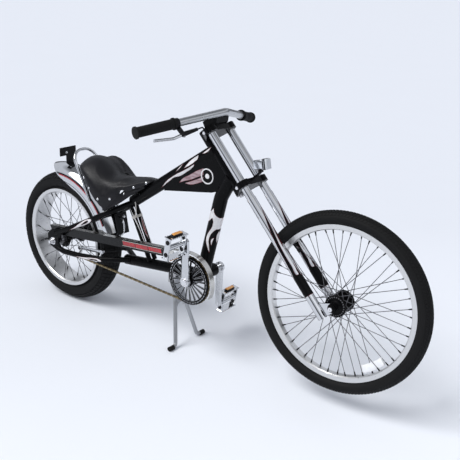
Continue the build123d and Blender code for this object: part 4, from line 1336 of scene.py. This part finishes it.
class BICYCLE_OT_frame_fittings(bpy.types.Operator):
    """Adds the struts' band and strap, the loop and bolts behind, the brake arm and the stand's bolts"""
    bl_idname = "bicycle.frame_fittings"
    bl_label = "Frame fittings"

    def execute(self, context):
        band = bmesh.new()
        down = Vector((108, 0, -210)).normalized() * 0.005
        for side in (-1, 1):
            middle = bike(388, side * 14, 450)
            add_rod(band, middle - down, middle + down, 0.0106, 24)
        add_box(band, (0.006, 0.026, 0.010), bike(388, 0, 450))
        new_piece("strut_band", band, "frame", "line", slot="bright_steel")
        strap = bmesh.new()
        add_wire(strap, [bike(*place) for place in STRAP], 0.0021)
        new_piece("strut_strap", strap, "frame", "line", slot="bright_steel")
        loop = bmesh.new()
        add_wire(loop, [bike(*place) for place in LOOP], 0.0030)
        for middle in (bike(306.5, 4, 405), bike(311, 4, 430)):
            add_dome(loop, middle, (0.98, 0, 0.2), 0.0062, 0.0035)
        add_dome(loop, bike(-5.4, -9, 634), (1, 0, 0), 0.0056, 0.0034)
        new_piece("plate_loop", loop, "frame", "chrome")
        self.brake_arm()
        self.stand_bolts()
        self.fender_lines()
        return {"FINISHED"}

    def brake_arm(self):
        """Bright arm beside the rear wheel, clipped to the chainstay, with its cable to the strut."""
        arm = bmesh.new()
        rear, front = bike(124, -64, 267), bike(254, -63, 283)
        along = (front - rear).normalized()
        turn = along.to_track_quat("X", "Z").to_matrix().to_4x4()
        add_box(arm, ((front - rear).length, 0.005, 0.013), (rear + front) / 2, turn)
        bevel(arm, sharp_edges(arm), 0.0015, 2)
        for end, radius in ((front, 0.0085), (rear, 0.0075)):
            add_rod(arm, end + Vector((0, 0.004, 0)), end - Vector((0, 0.005, 0)), radius, 18)
        add_wire(arm, [front, front + Vector((0.012, 0, -0.004)), front + Vector((0.016, 0, 0.010))], 0.0022)
        add_rod(arm, bike(250, -64, 282), bike(254, -76, 262), 0.0035, 12)
        add_rod(arm, bike(140, -65, 268), bike(144, -90, 253), 0.0035, 12)
        new_piece("brake_arm", arm, "frame", "polished")
        cable = bmesh.new()
        add_wire(cable, [front, *(bike(*place) for place in BRAKE_CABLE)], 0.0019)
        new_piece("rear_brake_cable", cable, "frame", "black_plastic")

    def stand_bolts(self):
        """Bolts at the stand's pivot, and the nuts with washers at the crank's bearings."""
        pivot = JOINTS["stand_fold"]["pos_m"]
        bolts = bmesh.new()
        low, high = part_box("stand_bracket")
        for side, face in ((-1, low[1]), (1, high[1])):
            start = Vector((pivot[0], face - side * 0.0005, pivot[2]))
            add_hex(bolts, start, start + Vector((0, side * 0.0055, 0)), 0.0078)
        new_piece("stand_bolts", bolts, "frame", "bright_steel")
        caps = bmesh.new()
        for side in (-1, 1):
            start = CRANK + Vector((0, side * 0.1030, 0))
            add_hex(caps, start, start + Vector((0, side * 0.0050, 0)), 0.0135)
            add_rod(caps, start, start + Vector((0, side * 0.0015, 0)), 0.0165, 28)
        new_piece("crank_nuts", caps, "crankset", "bright_steel")

    def fender_lines(self):
        """Dark and red lines that follow the rear fender's skirt on both sides."""
        skirt_y, line_thickness = 0.0571, 0.0004
        start, sweep, steps = math.radians(24), math.radians(66), 24
        for name, material, inner, outer in (("fender_lines_dark", "black_transfer", 0.2800, 0.2850),
                                             ("fender_lines_red", "guard_red", 0.2745, 0.2795),
                                             ("fender_lines_low", "black_transfer", 0.2540, 0.2560)):
            bm = bmesh.new()
            for side in (-1, 1):
                y = side * skirt_y
                verts = [bm.verts.new(Matrix.Rotation(-start, 3, "Y") @ Vector((radius, y, 0)))
                         for radius in (inner, outer)]
                edge = bm.edges.new(verts)
                bmesh.ops.spin(bm, geom=verts + [edge], cent=(0, 0, 0), axis=(0, 1, 0), dvec=(0, 0, 0),
                               angle=-sweep, steps=steps, use_merge=False, use_duplicate=False)
            bmesh.ops.solidify(bm, geom=bm.faces[:], thickness=line_thickness)
            new_piece(name, bm, "frame", material, REAR_WHEEL, slot="chrome")


OPERATORS = (BICYCLE_OT_materials, BICYCLE_OT_stage, BICYCLE_OT_tyres, BICYCLE_OT_wheel_fittings,
             BICYCLE_OT_chain, BICYCLE_OT_guard, BICYCLE_OT_flames, BICYCLE_OT_pedal_fittings,
             BICYCLE_OT_headlamp, BICYCLE_OT_controls, BICYCLE_OT_frame_fittings, BICYCLE_OT_seat)


class BICYCLE_PT_panel(bpy.types.Panel):
    """Lists the bicycle's pieces"""
    bl_idname = "BICYCLE_PT_panel"
    bl_label = "Bicycle"
    bl_space_type = "VIEW_3D"
    bl_region_type = "UI"
    bl_category = "Bicycle"

    def draw(self, context):
        for operator in OPERATORS:
            self.layout.operator(operator.bl_idname)


CLASSES = (BicycleLook, *OPERATORS, BICYCLE_PT_panel)


def register():
    for cls in CLASSES:
        bpy.utils.register_class(cls)
    bpy.types.Scene.bicycle_look = bpy.props.PointerProperty(type=BicycleLook)


def unregister():
    del bpy.types.Scene.bicycle_look
    for cls in reversed(CLASSES):
        bpy.utils.unregister_class(cls)


def main():
    register()
    for operator in OPERATORS:
        group, name = operator.bl_idname.split(".")
        getattr(getattr(bpy.ops, group), name)()


if __name__ == "__main__":
    main()
